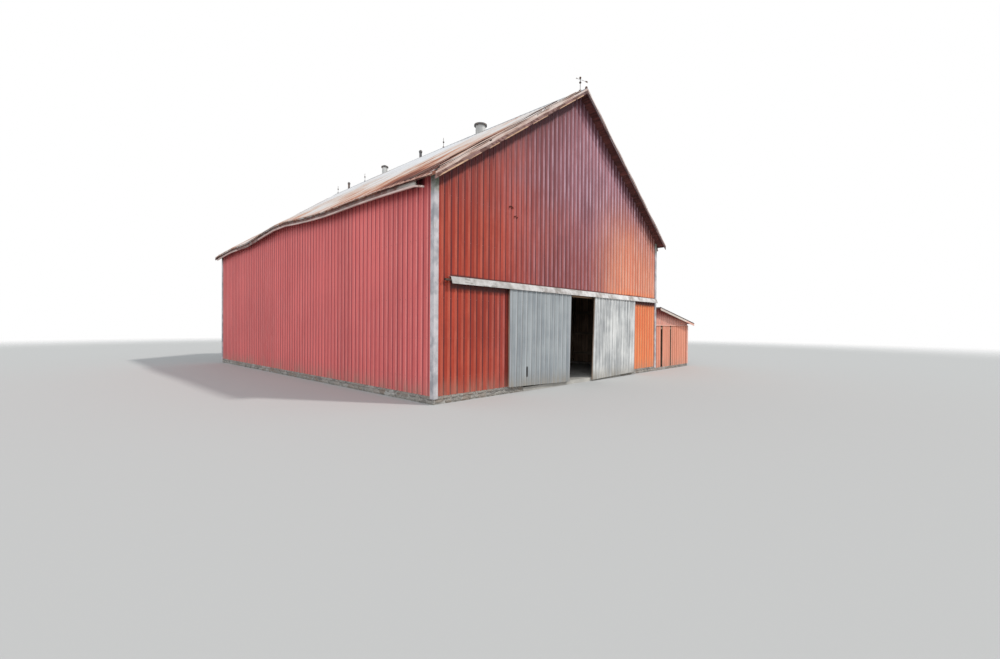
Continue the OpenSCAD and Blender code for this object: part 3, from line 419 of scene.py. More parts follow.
@dataclass(frozen=True)
class Siding:
    """Painted ribbed sheet on the outside of a wall, with boards on its inside."""

    name: str
    deep: Color
    faded: Color
    chalk: Color
    along: Axis
    outward: Vector
    first_rib: float
    # Dark tone for seams and dirt, and for the painted shadow and shade
    grime_and_shade: Color = (0.10, 0.035, 0.03)
    dust: Color = (0.33, 0.22, 0.17)
    foot: float = 0.2
    fading: float = 0.5
    roughness: float = 0.46
    # Painted rib shadow: the side of each rib where it falls, and how far it lies from the rib's middle
    rib_shadow: int = 1
    rib_shadow_at: float = 0.060
    contrast: float = 1.0
    # Heights of the eave and of the peak, under which the wall takes painted shade
    eave: float = 0.0
    peak: float = 0.0
    mottle: float = 0.13
    regions: tuple[Region, ...] = ()

    def _tones(self, graph: Graph, run: Value, height: Value) -> list[Tint]:
        """Mixes the tones of the regions into those of the wall.

        Args:
            graph: the tree that the nodes go in.
            run: the place along the wall.
            height: the height above the ground.

        Returns:
            The deep, the faded and the chalky tone.
        """
        tones: list[Tint] = [self.deep, self.faded, self.chalk]
        if not self.regions:
            return tones
        waves = graph.add(graph.noise(graph.position, 0.5, 3.0), -0.5)
        for region in self.regions:
            share = region.share(graph, run, height, waves)
            others = (region.deep, region.faded, region.chalk)
            tones = [graph.mix(share, tone, other) for tone, other in zip(tones, others)]
        return tones

    def _paint(self, graph: Graph, run: Value, deep: Tint, faded: Tint) -> Value:
        """Makes the paint's colour, from its deep tone to where sun and rain faded it.

        Args:
            graph: the tree that the nodes go in.
            run: the place along the wall.
            deep: the deep tone.
            faded: the faded tone.

        Returns:
            The colour.
        """
        broad = graph.noise(graph.position, 0.33, 3.0)
        streaks = graph.noise(graph.stretched((8.0, 8.0, 0.4)), 1.0, 4.0, 0.6)
        fine = graph.noise(graph.position, 11.0, 4.0)
        tone = graph.add(graph.times(broad, 0.5), graph.times(streaks, 0.38), graph.times(fine, 0.12))
        middle = 0.62 - 0.2 * self.fading
        color = graph.mix(graph.span(tone, middle - self.mottle, middle + self.mottle), deep, faded)
        sheet, lap = graph.stripe(run, SHEET_WIDTH, self.first_rib + RIB_PITCH * 0.7)
        color = graph.shade(color, graph.span(graph.chance(sheet), 0.0, 1.0, 0.93, 1.07))
        seam = graph.span(lap, SHEET_WIDTH / 2 - 0.004, SHEET_WIDTH / 2 - 0.001)
        color = graph.mix(graph.times(seam, 0.5), color, self.grime_and_shade)
        number, _ = graph.stripe(run, RIB_PITCH, self.first_rib - RIB_PITCH / 2)
        each = graph.chance(graph.add(number, 0.37))
        return graph.shade(color, graph.span(each, 0.0, 1.0, 0.97, 1.03))

    def _wear(self, graph: Graph, color: Value, run: Value, height: Value, chalk: Tint) -> Value:
        """Adds dark rib-angle lines, chalky crests, splashed dust at the foot, and painted shadow, shade
        and highlights.

        Args:
            graph: the tree that the nodes go in.
            color: the paint's colour.
            run: the place along the wall.
            height: the height above the ground.
            chalk: the tone of the ribs' crests, chalky paint with a painted highlight.

        Returns:
            The colour with its wear.
        """
        number, signed = graph.offset(run, RIB_PITCH, self.first_rib - RIB_PITCH / 2)
        angle = graph.distance(graph.distance(signed), RIB_FOOT / 2 + 0.002)
        grain = graph.noise(graph.stretched((5.0, 5.0, 1.1)), 1.0, 4.0)
        each = graph.span(graph.chance(graph.add(number, 0.11)), 0.0, 1.0, 0.78, 1.0)
        # Darker lines in the angles at each rib's foot
        rib_angle_dark = graph.span(angle, 0.001, 0.009, 1.0, 0.0)
        rib_angle_dark = graph.times(rib_angle_dark, graph.span(grain, 0.3, 0.7, 0.35, 0.75))
        color = graph.mix(rib_angle_dark, color, self.grime_and_shade)
        # Painted shadow: a dark band beside each rib, on the side away from the light
        toward_shadow = graph.times(signed, float(self.rib_shadow))
        behind = graph.distance(toward_shadow, self.rib_shadow_at)
        rough = graph.span(grain, 0.3, 0.7, 0.7, 1.0)
        rib_shadow = graph.times(graph.span(behind, 0.014, 0.032, 1.0, 0.0), each, rough)
        color = graph.mix(graph.times(rib_shadow, self.contrast, 0.9), color, self.grime_and_shade)
        # Chalky crests with a painted highlight on the flank that faces the light
        light = graph.distance(toward_shadow, -0.014)
        crest = graph.times(graph.span(light, 0.020, 0.048, 1.0, 0.0), each)
        chalky = graph.times(crest, self.contrast, graph.span(grain, 0.35, 0.65, 0.4, 0.85))
        color = graph.mix(chalky, color, chalk)
        splash = graph.span(height, self.foot, self.foot + 0.7, 1.0, 0.0)
        dusty = graph.times(splash, splash, graph.span(grain, 0.35, 0.7, 0.1, 0.6))
        color = graph.mix(dusty, color, self.dust)
        # Painted shade: the wall darkens just under the eave
        if self.eave:
            under = graph.span(height, self.eave - 0.3, self.eave, 0.0, 1.0)
            color = graph.mix(graph.times(under, under, 0.2), color, self.grime_and_shade)
        # Painted shadow: a dark band under the rakes, with a ragged lower edge
        if self.peak:
            fall = graph.times(graph.distance(run), -ROOF_FALL)
            below = graph.add(self.peak, fall, graph.times(height, -1.0))
            edge = graph.add(below, graph.times(graph.add(grain, -0.5), 0.5))
            color = graph.mix(graph.span(edge, 0.36, 0.56, 0.62, 0.0), color, self.grime_and_shade)
        chips = graph.noise(graph.position, 23.0, 3.0, 0.7)
        return graph.mix(graph.span(chips, 0.71, 0.75, 0.0, 0.8), color, (0.22, 0.13, 0.10))

    def build(self) -> bpy.types.Material:
        """Makes the material.

        Returns:
            The material.
        """
        graph = Graph(self.name)
        x, y, z = graph.parts()
        run = x if self.along is Axis.X else y
        deep, faded, chalk = self._tones(graph, run, z)
        paint = self._wear(graph, self._paint(graph, run, deep, faded), run, z, chalk)
        boards, board_height = INNER_BOARDS[self.along].color(graph, run)
        inside = graph.span(graph.facing(self.outward), 0.02, 0.08, 1.0, 0.0)
        fine = graph.noise(graph.position, 38.0, 3.0)
        dents = graph.noise(graph.stretched((2.6, 2.6, 0.7)), 1.0, 2.0)
        height = graph.add(graph.times(fine, 0.10), graph.times(dents, 0.9))
        rough = graph.add(self.roughness, graph.span(fine, 0.3, 0.7, -0.06, 0.1))
        return graph.surface(
            graph.mix(inside, paint, boards),
            graph.add(rough, graph.times(inside, 0.35)),
            graph.bump(graph.add(height, graph.times(inside, board_height, 0.2)), 0.35, 0.012),
            specular=0.25,
        )


@dataclass(frozen=True)
class Shift:
    """A change of colour along one axis: its share goes from start at low to end at high."""

    axis: Axis
    low: float
    high: float
    start: float
    end: float
    color: Color

    def apply(self, graph: Graph, color: Value, patches: Value) -> Value:
        """Mixes the change in, with a patchy border.

        Args:
            graph: the tree that the nodes go in.
            color: the colour before the change.
            patches: a noise value round 0.5 that breaks the border up.

        Returns:
            The colour after it.
        """
        place = graph.parts()[self.axis.value]
        share = graph.span(place, self.low, self.high, self.start, self.end, smooth=False)
        rough = graph.span(patches, 0.32, 0.68, 0.55, 1.35)
        return graph.mix(graph.math("MULTIPLY", share, rough, clamp=True), color, self.color)


@dataclass(frozen=True)
class PaintedTrim:
    """White paint that peels off weathered boards."""

    name: str
    paint: Color
    worn: Color
    grain: Axis
    peel: float = 0.62
    stain: Color = (0.15, 0.11, 0.085)
    stains: float = 0.3
    shift: Shift | None = None
    blot: float = 1.3

    def build(self) -> bpy.types.Material:
        """Makes the material.

        Returns:
            The material.
        """
        graph = Graph(self.name)
        stretch = tuple(1.1 if i == self.grain.value else 9.0 for i in range(3))
        grain = graph.noise(graph.stretched(stretch), 1.0, 5.0, 0.65)
        patches = graph.noise(graph.position, 3.2, 5.0, 0.7)
        wear = graph.add(graph.times(grain, 0.6), graph.times(patches, 0.4))
        bare = graph.span(wear, self.peel, self.peel + 0.035)
        wood = graph.shade(self.worn, graph.span(grain, 0.3, 0.7, 0.6, 1.3))
        soft = graph.span(graph.noise(graph.position, self.blot, 3.0), 0.35, 0.7, 0.0, self.stains)
        paint = graph.shade(self.paint, graph.span(patches, 0.3, 0.7, 0.9, 1.04))
        paint = graph.mix(soft, paint, self.stain)
        fibres = graph.noise(graph.stretched(tuple(4 * s for s in stretch)), 1.0, 2.0)
        cracks = graph.span(fibres, 0.62, 0.68)
        paint = graph.mix(graph.times(cracks, 0.45), paint, self.stain)
        color = graph.mix(bare, paint, wood)
        if self.shift is not None:
            color = self.shift.apply(graph, color, patches)
        height = graph.add(graph.times(bare, -0.6), graph.times(grain, 0.4))
        rough = graph.span(bare, 0.0, 1.0, 0.55, 0.88)
        return graph.surface(color, rough, graph.bump(height, 0.5, 0.004), specular=0.3)


@dataclass(frozen=True)
class RustedRoof:
    """Old white roofing that rusts from the eave up, over a deck of boards.

    The drip is the X of the eave, and the run is how far the rust's rise reaches from it.
    """

    name: str
    run: float = ROOF_REACH
    drip: float = ROOF_REACH
    bias: float = 0.0
    aged: float = 1.0
    layered: float = 1.0
    stops: tuple[tuple[float, Color], ...] = (
        (0.0, (0.61, 0.61, 0.62)),
        (0.24, (0.58, 0.55, 0.53)),
        (0.42, (0.54, 0.42, 0.355)),
        (0.57, (0.45, 0.225, 0.145)),
        (0.74, (0.26, 0.090, 0.056)),
        (0.92, (0.095, 0.036, 0.028)),
    )
    layers: tuple[tuple[float, Color], ...] = (
        # Darkest: rust, and partly painted shade between the layers
        (0.34, (0.085, 0.045, 0.036)),
        (0.42, (0.31, 0.165, 0.125)),
        (0.50, (0.55, 0.40, 0.34)),
        (0.58, (0.70, 0.60, 0.55)),
    )

    def rust(self, graph: Graph, x: Value, y: Value) -> Value:
        """Works out how rusted the roof is, in streaks down the slope.

        The rust is worst low on the slope and towards the front.

        Args:
            graph: the tree that the nodes go in.
            x: the place across the barn.
            y: the place along the barn.

        Returns:
            A value from 0 to 1.
        """
        share = graph.span(graph.distance(x), self.drip - self.run, self.drip, smooth=False)
        front = graph.span(y, -9.2, 5.5, 1.0, 0.28)
        fine = graph.noise(graph.stretched((0.5, 9.0, 0.5)), 1.0, 5.0, 0.68)
        wide = graph.noise(graph.stretched((0.3, 1.7, 0.3)), 1.0, 4.0, 0.6)
        patch = graph.noise(graph.position, 0.42, 3.0)
        _, away = graph.stripe(y, RIB_PITCH, 0.0)
        rib = graph.span(away, 0.0, RIB_FOOT / 2, -0.08, 0.0)
        sheet = graph.chance(graph.stripe(y, SHEET_WIDTH, 0.11)[0])
        level = graph.add(graph.times(fine, 0.60), graph.times(wide, 0.65), graph.times(patch, 0.55),
                          graph.times(sheet, 0.12), rib, self.bias - 0.96)
        worn = graph.times(front, graph.add(graph.times(share, share, 0.66), graph.times(share, 0.12)))
        return graph.add(graph.times(level, 1.7), graph.times(worn, self.aged), 0.13)

    def _edge(self, graph: Graph) -> Value:
        """Returns where the surface is an edge that faces along the building."""
        sideways = graph.distance(graph.facing(Vector((0, 1, 0))))
        return graph.span(sideways, 0.93, 0.97, 0.0, self.layered)

    def _edge_layers(self, graph: Graph, x: Value, z: Value) -> Value:
        """Paints a rake's edge in thin layers of sheet, wood and rust; the darkest layers are partly
        painted shade.

        Args:
            graph: the tree that the nodes go in.
            x: the place across the barn.
            z: the height.

        Returns:
            The colour.
        """
        out = graph.distance(x)
        rise = graph.add(z, graph.times(out, ROOF_FALL))
        thin = graph.joined(graph.times(rise, 38.0), graph.times(out, 0.55), 0.0)
        wide = graph.joined(graph.times(rise, 6.0), graph.times(out, 1.6), 3.7)
        layer = graph.times(graph.noise(thin, 1.0, 3.0, 0.7), 0.62)
        patch = graph.times(graph.noise(wide, 1.0, 3.0, 0.6), 0.38)
        return graph.ramp(graph.add(layer, patch), self.layers)

    def build(self) -> bpy.types.Material:
        """Makes the material.

        Returns:
            The material.
        """
        graph = Graph(self.name)
        x, y, z = graph.parts()
        rust = self.rust(graph, x, y)
        color = graph.ramp(rust, self.stops)
        _, lap = graph.stripe(y, SHEET_WIDTH, 0.11)
        seam = graph.span(lap, SHEET_WIDTH / 2 - 0.008, SHEET_WIDTH / 2, 0.0, 0.55)
        color = graph.mix(seam, color, (0.06, 0.035, 0.025))
        color = graph.mix(self._edge(graph), color, self._edge_layers(graph, x, z))
        under = graph.span(graph.facing(Vector((0, 0, -1))), 0.0, 0.2)
        # The deck's boards are dark maroon: their tone darkened as painted shade under the overhang
        deck = Wood("deck", (0.19, 0.062, 0.052), (0.075, 0.026, 0.023), Axis.Y, 0.17)
        boards, board_height = deck.color(graph, x)
        color = graph.mix(under, color, boards)
        pits = graph.noise(graph.position, 45.0, 3.0)
        rough = graph.span(rust, 0.1, 0.8, 0.48, 0.88)
        deck_height = graph.times(under, board_height, 0.4)
        height = graph.add(graph.times(pits, 0.25), graph.times(rust, 0.4), deck_height)
        return graph.surface(color, rough, graph.bump(height, 0.4, 0.006), specular=0.4)


@dataclass(frozen=True)
class DoorPaint:
    """White-grey paint on a sliding door's ribbed sheet, streaked and dirty at its foot, with painted rib
    shadows and highlights.

    The door leans: its ribs pass first_rib at the height of its head, and move by lean in a metre.
    """

    name: str
    fresh: Color
    cold: Color
    # Tone of the painted highlight on each rib's lit flank
    crest: Color
    foot: float
    first_rib: float
    lean: float
    head: float = 3.09
    # Dark tone for streaks of dirt, and for the painted rib shadows
    grime_and_shade: Color = (0.15, 0.145, 0.14)
    tear: Point | None = None

    def _slit_shade(self, graph: Graph, x: Value, z: Value) -> Value:
        """Works out the painted shade round the torn slit, over its bent-in edges.

        Args:
            graph: the tree that the nodes go in.
            x: the place across the barn.
            z: the height.

        Returns:
            A share from 0 to 1.
        """
        if self.tear is None:
            return 0.0
        place, low, high = self.tear
        beside = graph.span(graph.distance(x, place), 0.030, 0.060, 1.0, 0.0)
        above = graph.span(z, low - 0.03, low + 0.02)
        below = graph.span(z, high - 0.02, high + 0.03, 1.0, 0.0)
        return graph.times(beside, above, below)

    def build(self) -> bpy.types.Material:
        """Makes the material.

        Returns:
            The material.
        """
        graph = Graph(self.name)
        x, _, z = graph.parts()
        streaks = graph.noise(graph.stretched((11.0, 3.0, 0.5)), 1.0, 5.0, 0.62)
        broad = graph.noise(graph.position, 1.0, 3.0)
        fine = graph.noise(graph.position, 21.0, 4.0)
        tone = graph.add(graph.times(streaks, 0.5), graph.times(broad, 0.5))
        color = graph.mix(graph.span(tone, 0.38, 0.62), self.cold, self.fresh)
        runs = graph.noise(graph.stretched((16.0, 4.0, 0.35)), 1.0, 3.0)
        color = graph.mix(graph.span(runs, 0.56, 0.72, 0.0, 0.42), color, self.grime_and_shade)
        run = graph.add(x, graph.times(graph.add(z, -self.head), -self.lean))
        number, signed = graph.offset(run, RIB_PITCH, self.first_rib - RIB_PITCH / 2)
        each = graph.span(graph.chance(graph.add(number, 0.7)), 0.0, 1.0, 0.6, 1.0)
        # Painted shadow beside each rib, and a painted highlight on the flank that faces the light
        rib_shadow = graph.span(graph.distance(signed, 0.036), 0.010, 0.030, 1.0, 0.0)
        color = graph.mix(graph.times(rib_shadow, each, 0.72), color, self.grime_and_shade)
        lit = graph.span(graph.distance(signed, -0.010), 0.014, 0.032, 1.0, 0.0)
        lit = graph.times(lit, each, graph.span(streaks, 0.3, 0.7, 0.25, 0.8))
        color = graph.mix(lit, color, self.crest)
        splash = graph.span(z, self.foot, self.foot + 0.75, 1.0, 0.0)
        muddy = graph.times(splash, splash, graph.span(streaks, 0.3, 0.7, 0.25, 0.9))
        color = graph.mix(muddy, color, (0.27, 0.235, 0.19))
        color = graph.mix(graph.span(fine, 0.68, 0.74, 0.0, 0.7), color, (0.24, 0.15, 0.10))
        # Painted shade round the torn slit
        color = graph.mix(self._slit_shade(graph, x, z), color, (0.03, 0.026, 0.024))
        inside = graph.span(graph.facing(Vector((0, -1, 0))), -0.4, -0.2, 1.0, 0.0)
        color = graph.mix(inside, color, graph.shade(self.cold, 0.55))
        height = graph.add(graph.times(fine, 0.2), graph.times(broad, 0.8))
        rough = graph.span(fine, 0.3, 0.7, 0.45, 0.62)
        return graph.surface(color, rough, graph.bump(height, 0.3, 0.01), specular=0.3)


@dataclass(frozen=True)
class Galvanised:
    """Zinc-coated sheet with dull spangle, run-off stains and a few rust spots."""

    name: str
    light: Color
    dark: Color
    rust: float = 0.64
    metallic: float = 0.35

    def build(self) -> bpy.types.Material:
        """Makes the material.

        Returns:
            The material.
        """
        graph = Graph(self.name)
        _, spangle = graph.cells(graph.position, 34.0)
        value, _, _ = graph.parts(spangle)
        stain = graph.noise(graph.stretched((5.0, 5.0, 0.8)), 1.0, 4.0)
        tone = graph.add(graph.times(value, 0.3), graph.times(stain, 0.7))
        color = graph.mix(graph.span(tone, 0.3, 0.62), self.dark, self.light)
        spots = graph.noise(graph.position, 6.5, 5.0, 0.7)
        rusty = graph.span(spots, self.rust, self.rust + 0.07)
        color = graph.mix(rusty, color, (0.27, 0.12, 0.06))
        rough = graph.add(graph.span(tone, 0.3, 0.7, 0.62, 0.42), graph.times(rusty, 0.3))
        metallic = graph.span(rusty, 0.0, 1.0, self.metallic, 0.0)
        return graph.surface(color, rough, graph.bump(spots, 0.25, 0.003), metallic)


@dataclass(frozen=True)
class DarkIron:
    """Forged or rolled iron, nearly black, with brown rust."""

    name: str
    iron: Color = (0.055, 0.052, 0.052)
    rust: Color = (0.15, 0.068, 0.035)

    def build(self) -> bpy.types.Material:
        """Makes the material.

        Returns:
            The material.
        """
        graph = Graph(self.name)
        patches = graph.noise(graph.position, 19.0, 5.0, 0.7)
        grain = graph.noise(graph.position, 160.0, 2.0)
        share = graph.span(patches, 0.42, 0.62)
        color = graph.mix(share, self.iron, self.rust)
        color = graph.shade(color, graph.span(grain, 0.3, 0.7, 0.8, 1.2))
        rough = graph.span(share, 0.0, 1.0, 0.5, 0.9)
        metallic = graph.span(share, 0.0, 1.0, 0.6, 0.0)
        return graph.surface(color, rough, graph.bump(grain, 0.4, 0.001), metallic)


@dataclass(frozen=True)
class FieldStone:
    """Grey field stones set in pale mortar."""

    name: str
    mortar: Color = (0.36, 0.34, 0.31)

    def build(self) -> bpy.types.Material:
        """Makes the material.

        Returns:
            The material.
        """
        graph = Graph(self.name)
        warp = graph.times(graph.noise(graph.position, 3.0, 2.0), 0.12)
        feeds = {0: graph.stretched((1.0, 1.0, 2.0)), 1: warp}
        place = graph.node("VectorMath", feeds, operation="ADD").outputs[0]
        edge, _ = graph.cells(place, 3.4, "DISTANCE_TO_EDGE")
        _, kind = graph.cells(place, 3.4)
        value, _, _ = graph.parts(kind)
        stone = graph.ramp(value, ((0.0, (0.20, 0.185, 0.17)), (0.4, (0.31, 0.29, 0.26)),
                                   (0.7, (0.25, 0.20, 0.165)), (1.0, (0.40, 0.385, 0.36))))
        grain = graph.noise(graph.position, 30.0, 5.0, 0.65)
        stone = graph.shade(stone, graph.span(grain, 0.3, 0.7, 0.75, 1.2))
        joint = graph.span(edge, 0.012, 0.05, 1.0, 0.0)
        mortar = graph.shade(self.mortar, graph.span(grain, 0.3, 0.7, 0.85, 1.1))
        color = graph.mix(joint, stone, mortar)
        height = graph.add(graph.span(edge, 0.0, 0.12), graph.times(grain, 0.25))
        return graph.surface(color, 0.9, graph.bump(height, 0.7, 0.02), specular=0.3)


@dataclass(frozen=True)
class Concrete:
    """Worn concrete with fine grit, stains and a trowelled face."""

    name: str
    tone: Color = (0.37, 0.355, 0.33)

    def build(self) -> bpy.types.Material:
        """Makes the material.

        Returns:
            The material.
        """
        graph = Graph(self.name)
        stain = graph.noise(graph.position, 0.9, 5.0, 0.6)
        grit = graph.noise(graph.position, 70.0, 4.0, 0.7)
        color = graph.shade(self.tone, graph.span(stain, 0.3, 0.7, 0.72, 1.12))
        color = graph.shade(color, graph.span(grit, 0.3, 0.7, 0.9, 1.08))
        rough = graph.span(stain, 0.3, 0.7, 0.75, 0.92)
        return graph.surface(color, rough, graph.bump(grit, 0.3, 0.003))


@dataclass
class MeshParts:
    """Points and faces that are gathered for one object."""

    points: list[Point] = field(default_factory=list)
    faces: list[tuple[int, ...]] = field(default_factory=list)

    def add(self, points: Iterable[Sequence[float]], faces: Iterable[Sequence[int]]) -> None:
        """Adds points and faces.

        Args:
            points: the new points.
            faces: faces that count from the first new point.
        """
        base = len(self.points)
        self.points.extend(tuple(p) for p in points)
        self.faces.extend(tuple(base + i for i in face) for face in faces)

    def tube(self, rings: Sequence[Sequence[Sequence[float]]]) -> None:
        """Adds a closed solid through rings.

        Args:
            rings: rings that have the same number of points each.
        """
        count = len(rings[0])
        faces: list[Sequence[int]] = [tuple(reversed(range(count)))]
        for r in range(len(rings) - 1):
            for k in range(count):
                n = (k + 1) % count
                faces.append((r * count + k, r * count + n, (r + 1) * count + n, (r + 1) * count + k))
        last = (len(rings) - 1) * count
        faces.append(tuple(last + k for k in range(count)))
        self.add([p for ring in rings for p in ring], faces)

    def placed(self, template: "MeshParts", matrix: Matrix) -> None:
        """Adds a copy of other parts, moved by a matrix."""
        self.add([matrix @ Vector(p) for p in template.points], template.faces)

    def build(self, name: str, material: bpy.types.Material, body: str, slot: str,
              smooth: bool = False) -> bpy.types.Object:
        """Makes the object, which then rides on a body.

        Args:
            name: the piece's name.
            material: the piece's material.
            body: the CAD body that carries it.
            slot: a slot of the record; not used.
            smooth: whether its faces are shaded smooth.

        Returns:
            The object.
        """
        mesh = bpy.data.meshes.new(name)
        mesh.from_pydata(self.points, [], self.faces)
        mesh.validate()
        mesh.update()
        if smooth:
            for polygon in mesh.polygons:
                polygon.use_smooth = True
        mesh.materials.append(material)
        piece = bpy.data.objects.new(name, mesh)
        bpy.context.scene.collection.objects.link(piece)
        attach(piece, body)
        return piece


def circle(radius: float, count: int) -> list[tuple[float, float]]:
    """Returns the corners of a regular polygon round the origin."""
    turns = [2 * math.pi * k / count for k in range(count)]
    return [(radius * math.cos(turn), radius * math.sin(turn)) for turn in turns]


def screw_template() -> MeshParts:
    """Makes a screw's hexagonal head on its washer, pointing along +Z from z = 0.

    Returns:
        The screw's points and faces.
    """
    parts = MeshParts()
    for radius, low, high, count in ((0.0095, -0.004, 0.0025, 8), (0.0052, 0.002, 0.0075, 6)):
        parts.tube([[(x, y, level) for x, y in circle(radius, count)] for level in (low, high)])
    return parts


def facing_matrix(place: Sequence[float], direction: Vector) -> Matrix:
    """Returns the matrix that moves +Z to a direction at a place."""
    return Matrix.Translation(Vector(place)) @ direction.to_track_quat("Z", "Y").to_matrix().to_4x4()


def ventilator_points() -> list[tuple[float, list[Vector]]]:
    """Sorts the points of the CAD node of ventilators.

    Returns:
        The Y of each ventilator with the points that belong to it.
    """
    groups: list[tuple[float, list[Vector]]] = [(centre, []) for centre in VENTILATORS]
    for vertex in bpy.data.objects["ventilators"].data.vertices:
        _, members = min(groups, key=lambda group: abs(group[0] - vertex.co.y))
        members.append(vertex.co)
    return groups


@dataclass
class RoofSurface:
    """The roof's top face, read from the CAD node: its edges at each station along Y."""

    node: str = "roof_right"
    stations: list[float] = field(default_factory=list)
    eave: list[float] = field(default_factory=list)
    ridge: list[float] = field(default_factory=list)
    half: float = 0.0

    def __post_init__(self) -> None:
        """Reads the stations from the node's vertices."""
        _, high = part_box(self.node)
        self.half = high.x
        mesh = bpy.data.objects[self.node].data
        rows: dict[float, list[Vector]] = {}
        for vertex in mesh.vertices:
            rows.setdefault(round(vertex.co.y, 3), []).append(vertex.co)
        for y in sorted(rows):
            outer = [co.z for co in rows[y] if co.x > self.half - 0.01]
            inner = [co.z for co in rows[y] if co.x < 0.01]
            if outer and inner:
                self.stations.append(y)
                self.eave.append(max(outer))
                self.ridge.append(max(inner))

    def top(self, x: float, y: float) -> float:
        """Finds the height of the roof's top face.

        Args:
            x: the place across the barn.
            y: the place along the barn.

        Returns:
            The height.
        """
        y = min(max(y, self.stations[0]), self.stations[-1])
        i = 0
        while i < len(self.stations) - 2 and self.stations[i + 1] < y:
            i += 1
        share = (y - self.stations[i]) / (self.stations[i + 1] - self.stations[i])
        low = self.eave[i] + (self.eave[i + 1] - self.eave[i]) * share
        high = self.ridge[i] + (self.ridge[i + 1] - self.ridge[i]) * share
        return low + (high - low) * (1 - abs(x) / self.half)

    @property
    def front(self) -> float:
        """The Y of the front rake's edge."""
        return self.stations[0]

    @property
    def back(self) -> float:
        """The Y of the back rake's edge."""
        return self.stations[-1]


@dataclass
class RoofDressing:
    """Ribs, ragged sheet ends, rake strips and screws on the barn's roof."""

    surface: RoofSurface
    metal: bpy.types.Material
    end_metal: bpy.types.Material
    strip_metal: bpy.types.Material
    gap_shade_metal: bpy.types.Material
    shaded_metal: bpy.types.Material
    sliver_wood: bpy.types.Material
    screw_metal: bpy.types.Material
    cap_wing: float = 0.262
    sunk: float = 0.016
    rng: Random = field(default_factory=lambda: Random(11))

    def rib_lines(self) -> list[float]:
        """Spaces the ribs evenly between the two rakes.

        Returns:
            The Y of each rib.
        """
        count = int((self.surface.back - self.surface.front - 0.08) / RIB_PITCH)
        first = (self.surface.front + self.surface.back - count * RIB_PITCH) / 2
        return [first + i * RIB_PITCH for i in range(count + 1)]

    def ribs(self, side: int) -> MeshParts:
        """Makes the ribs of one slope, from the drip edge to the ridge cap.

        Args:
            side: -1 for the left slope, 1 for the right one.

        Returns:
            The piece's points and faces.
        """
        parts = MeshParts()
        foot, crest = RIB_FOOT / 2, RIB_CREST / 2
        flare = foot + (foot - crest) * self.sunk / RIB_RISE
        for y in self.rib_lines():
            rings = []
            for x in (self.surface.half + 0.004, self.cap_wing):
                z = self.surface.top(x, y)
                section = ((-flare, -self.sunk), (flare, -self.sunk),
                           (crest, RIB_RISE), (-crest, RIB_RISE))
                rings.append([(side * x, y + dy, z + dz) for dy, dz in section])
            parts.tube(rings if side > 0 else rings[::-1])
        return parts

    def sheet_ends(self, side: int) -> MeshParts:
        """Makes the sheets' uneven lower ends, which stand past the deck's edge.

        Args:
            side: -1 for the left slope, 1 for the right one.

        Returns:
            The piece's points and faces.
        """
        parts = MeshParts()
        lines = self.rib_lines()
        thick = 0.005
        lip = 0.018
        reach = 0.0
        for i, y in enumerate(lines[:-1]):
            if i % 4 == 0:
                reach = self.rng.uniform(0.006, 0.034)
            end = reach + self.rng.uniform(-0.004, 0.004)
            droop = self.rng.uniform(0.0, 0.010)
            rings = []
            for along in (y + 0.002, y + RIB_PITCH / 2, y + RIB_PITCH - 0.002):
                section = []
                for x, lift in ((self.surface.half - 0.16, 0.0), (self.surface.half + end, -droop)):
                    z = self.surface.top(min(x, self.surface.half), along)
                    z -= max(0.0, x - self.surface.half) * ROOF_FALL
                    section.append((side * x, along, z + lift + 0.002))
                inner, outer = section
                turned = (outer[0] + side * 0.003, along, outer[2] - lip)
                section = [inner, outer, (turned[0] - side * 0.004, along, turned[2]), turned,
                           (outer[0] + side * 0.004, along, outer[2] + thick),
                           (inner[0], along, inner[2] + thick)]
                rings.append(section if side > 0 else section[::-1])
            parts.tube(rings)
        return parts

    def rake_strips(self, side: int, y: float, outward: int, rows: Sequence[Point]) -> MeshParts:
        """Makes layers of loose edge sheet along a rake, each with a turned-down lip.

        Args:
            side: -1 for the left slope, 1 for the right one.
            y: the rake's edge.
            outward: the way that the rake faces, -1 or 1.
            rows: the width, lift and lip of each layer.

        Returns:
            The piece's points and faces.
        """
        parts = MeshParts()
        inner, outer = 0.34, self.surface.half - 0.02
        thick = 0.004
        for width, lift, lip in rows:
            start = inner + self.rng.uniform(0.0, 0.5)
            while start < outer - 0.4:
                end = min(outer - self.rng.uniform(0.0, 0.12), start + self.rng.uniform(1.1, 2.4))
                steps = 8
                rings = []
                phase = self.rng.uniform(0.0, 6.28)
                edge = self.rng.uniform(-0.020, 0.002)
                for k in range(steps + 1):
                    x = start + (end - start) * k / steps
                    wave = math.sin(phase + 9.0 * k / steps)
                    near, far = y - outward * width, y + outward * (edge + 0.004 * wave)
                    z_near = self.surface.top(x, near) + RIB_RISE + 0.003 + lift * 0.3
                    z_far = self.surface.top(x, y) + RIB_RISE + lift + 0.008 * wave
                    bend = far - outward * thick
                    section = [(side * x, near, z_near), (side * x, bend, z_far),
                               (side * x, bend, z_far - lip), (side * x, far, z_far - lip),
                               (side * x, far, z_far + thick), (side * x, near, z_near + thick)]
                    rings.append(section if side * outward < 0 else section[::-1])
                parts.tube(rings)
                start = end + self.rng.uniform(-0.08, 0.12)
        return parts

    def rake_gap(self, side: int, y: float, outward: int) -> MeshParts:
        """Makes a dark strip of painted shade along a rake, at the deck's edge between the layers.

        Args:
            side: -1 for the left slope, 1 for the right one.
            y: the rake's edge.
            outward: the way that the rake faces, -1 or 1.

        Returns:
            The piece's points and faces.
        """
        parts = MeshParts()
        steps = 12
        inner, length = 0.36, self.surface.half - 0.44
        rings = []
        for k in range(steps + 1):
            x = inner + length * k / steps
            low = self.surface.top(x, y) - 0.004
            near, far = y - outward * 0.20, y - outward * 0.034
            section = [(side * x, near, low), (side * x, far, low), (side * x, far, low + 0.074),
                       (side * x, near, low + 0.030)]
            rings.append(section if side * outward < 0 else section[::-1])
        parts.tube(rings)
        return parts

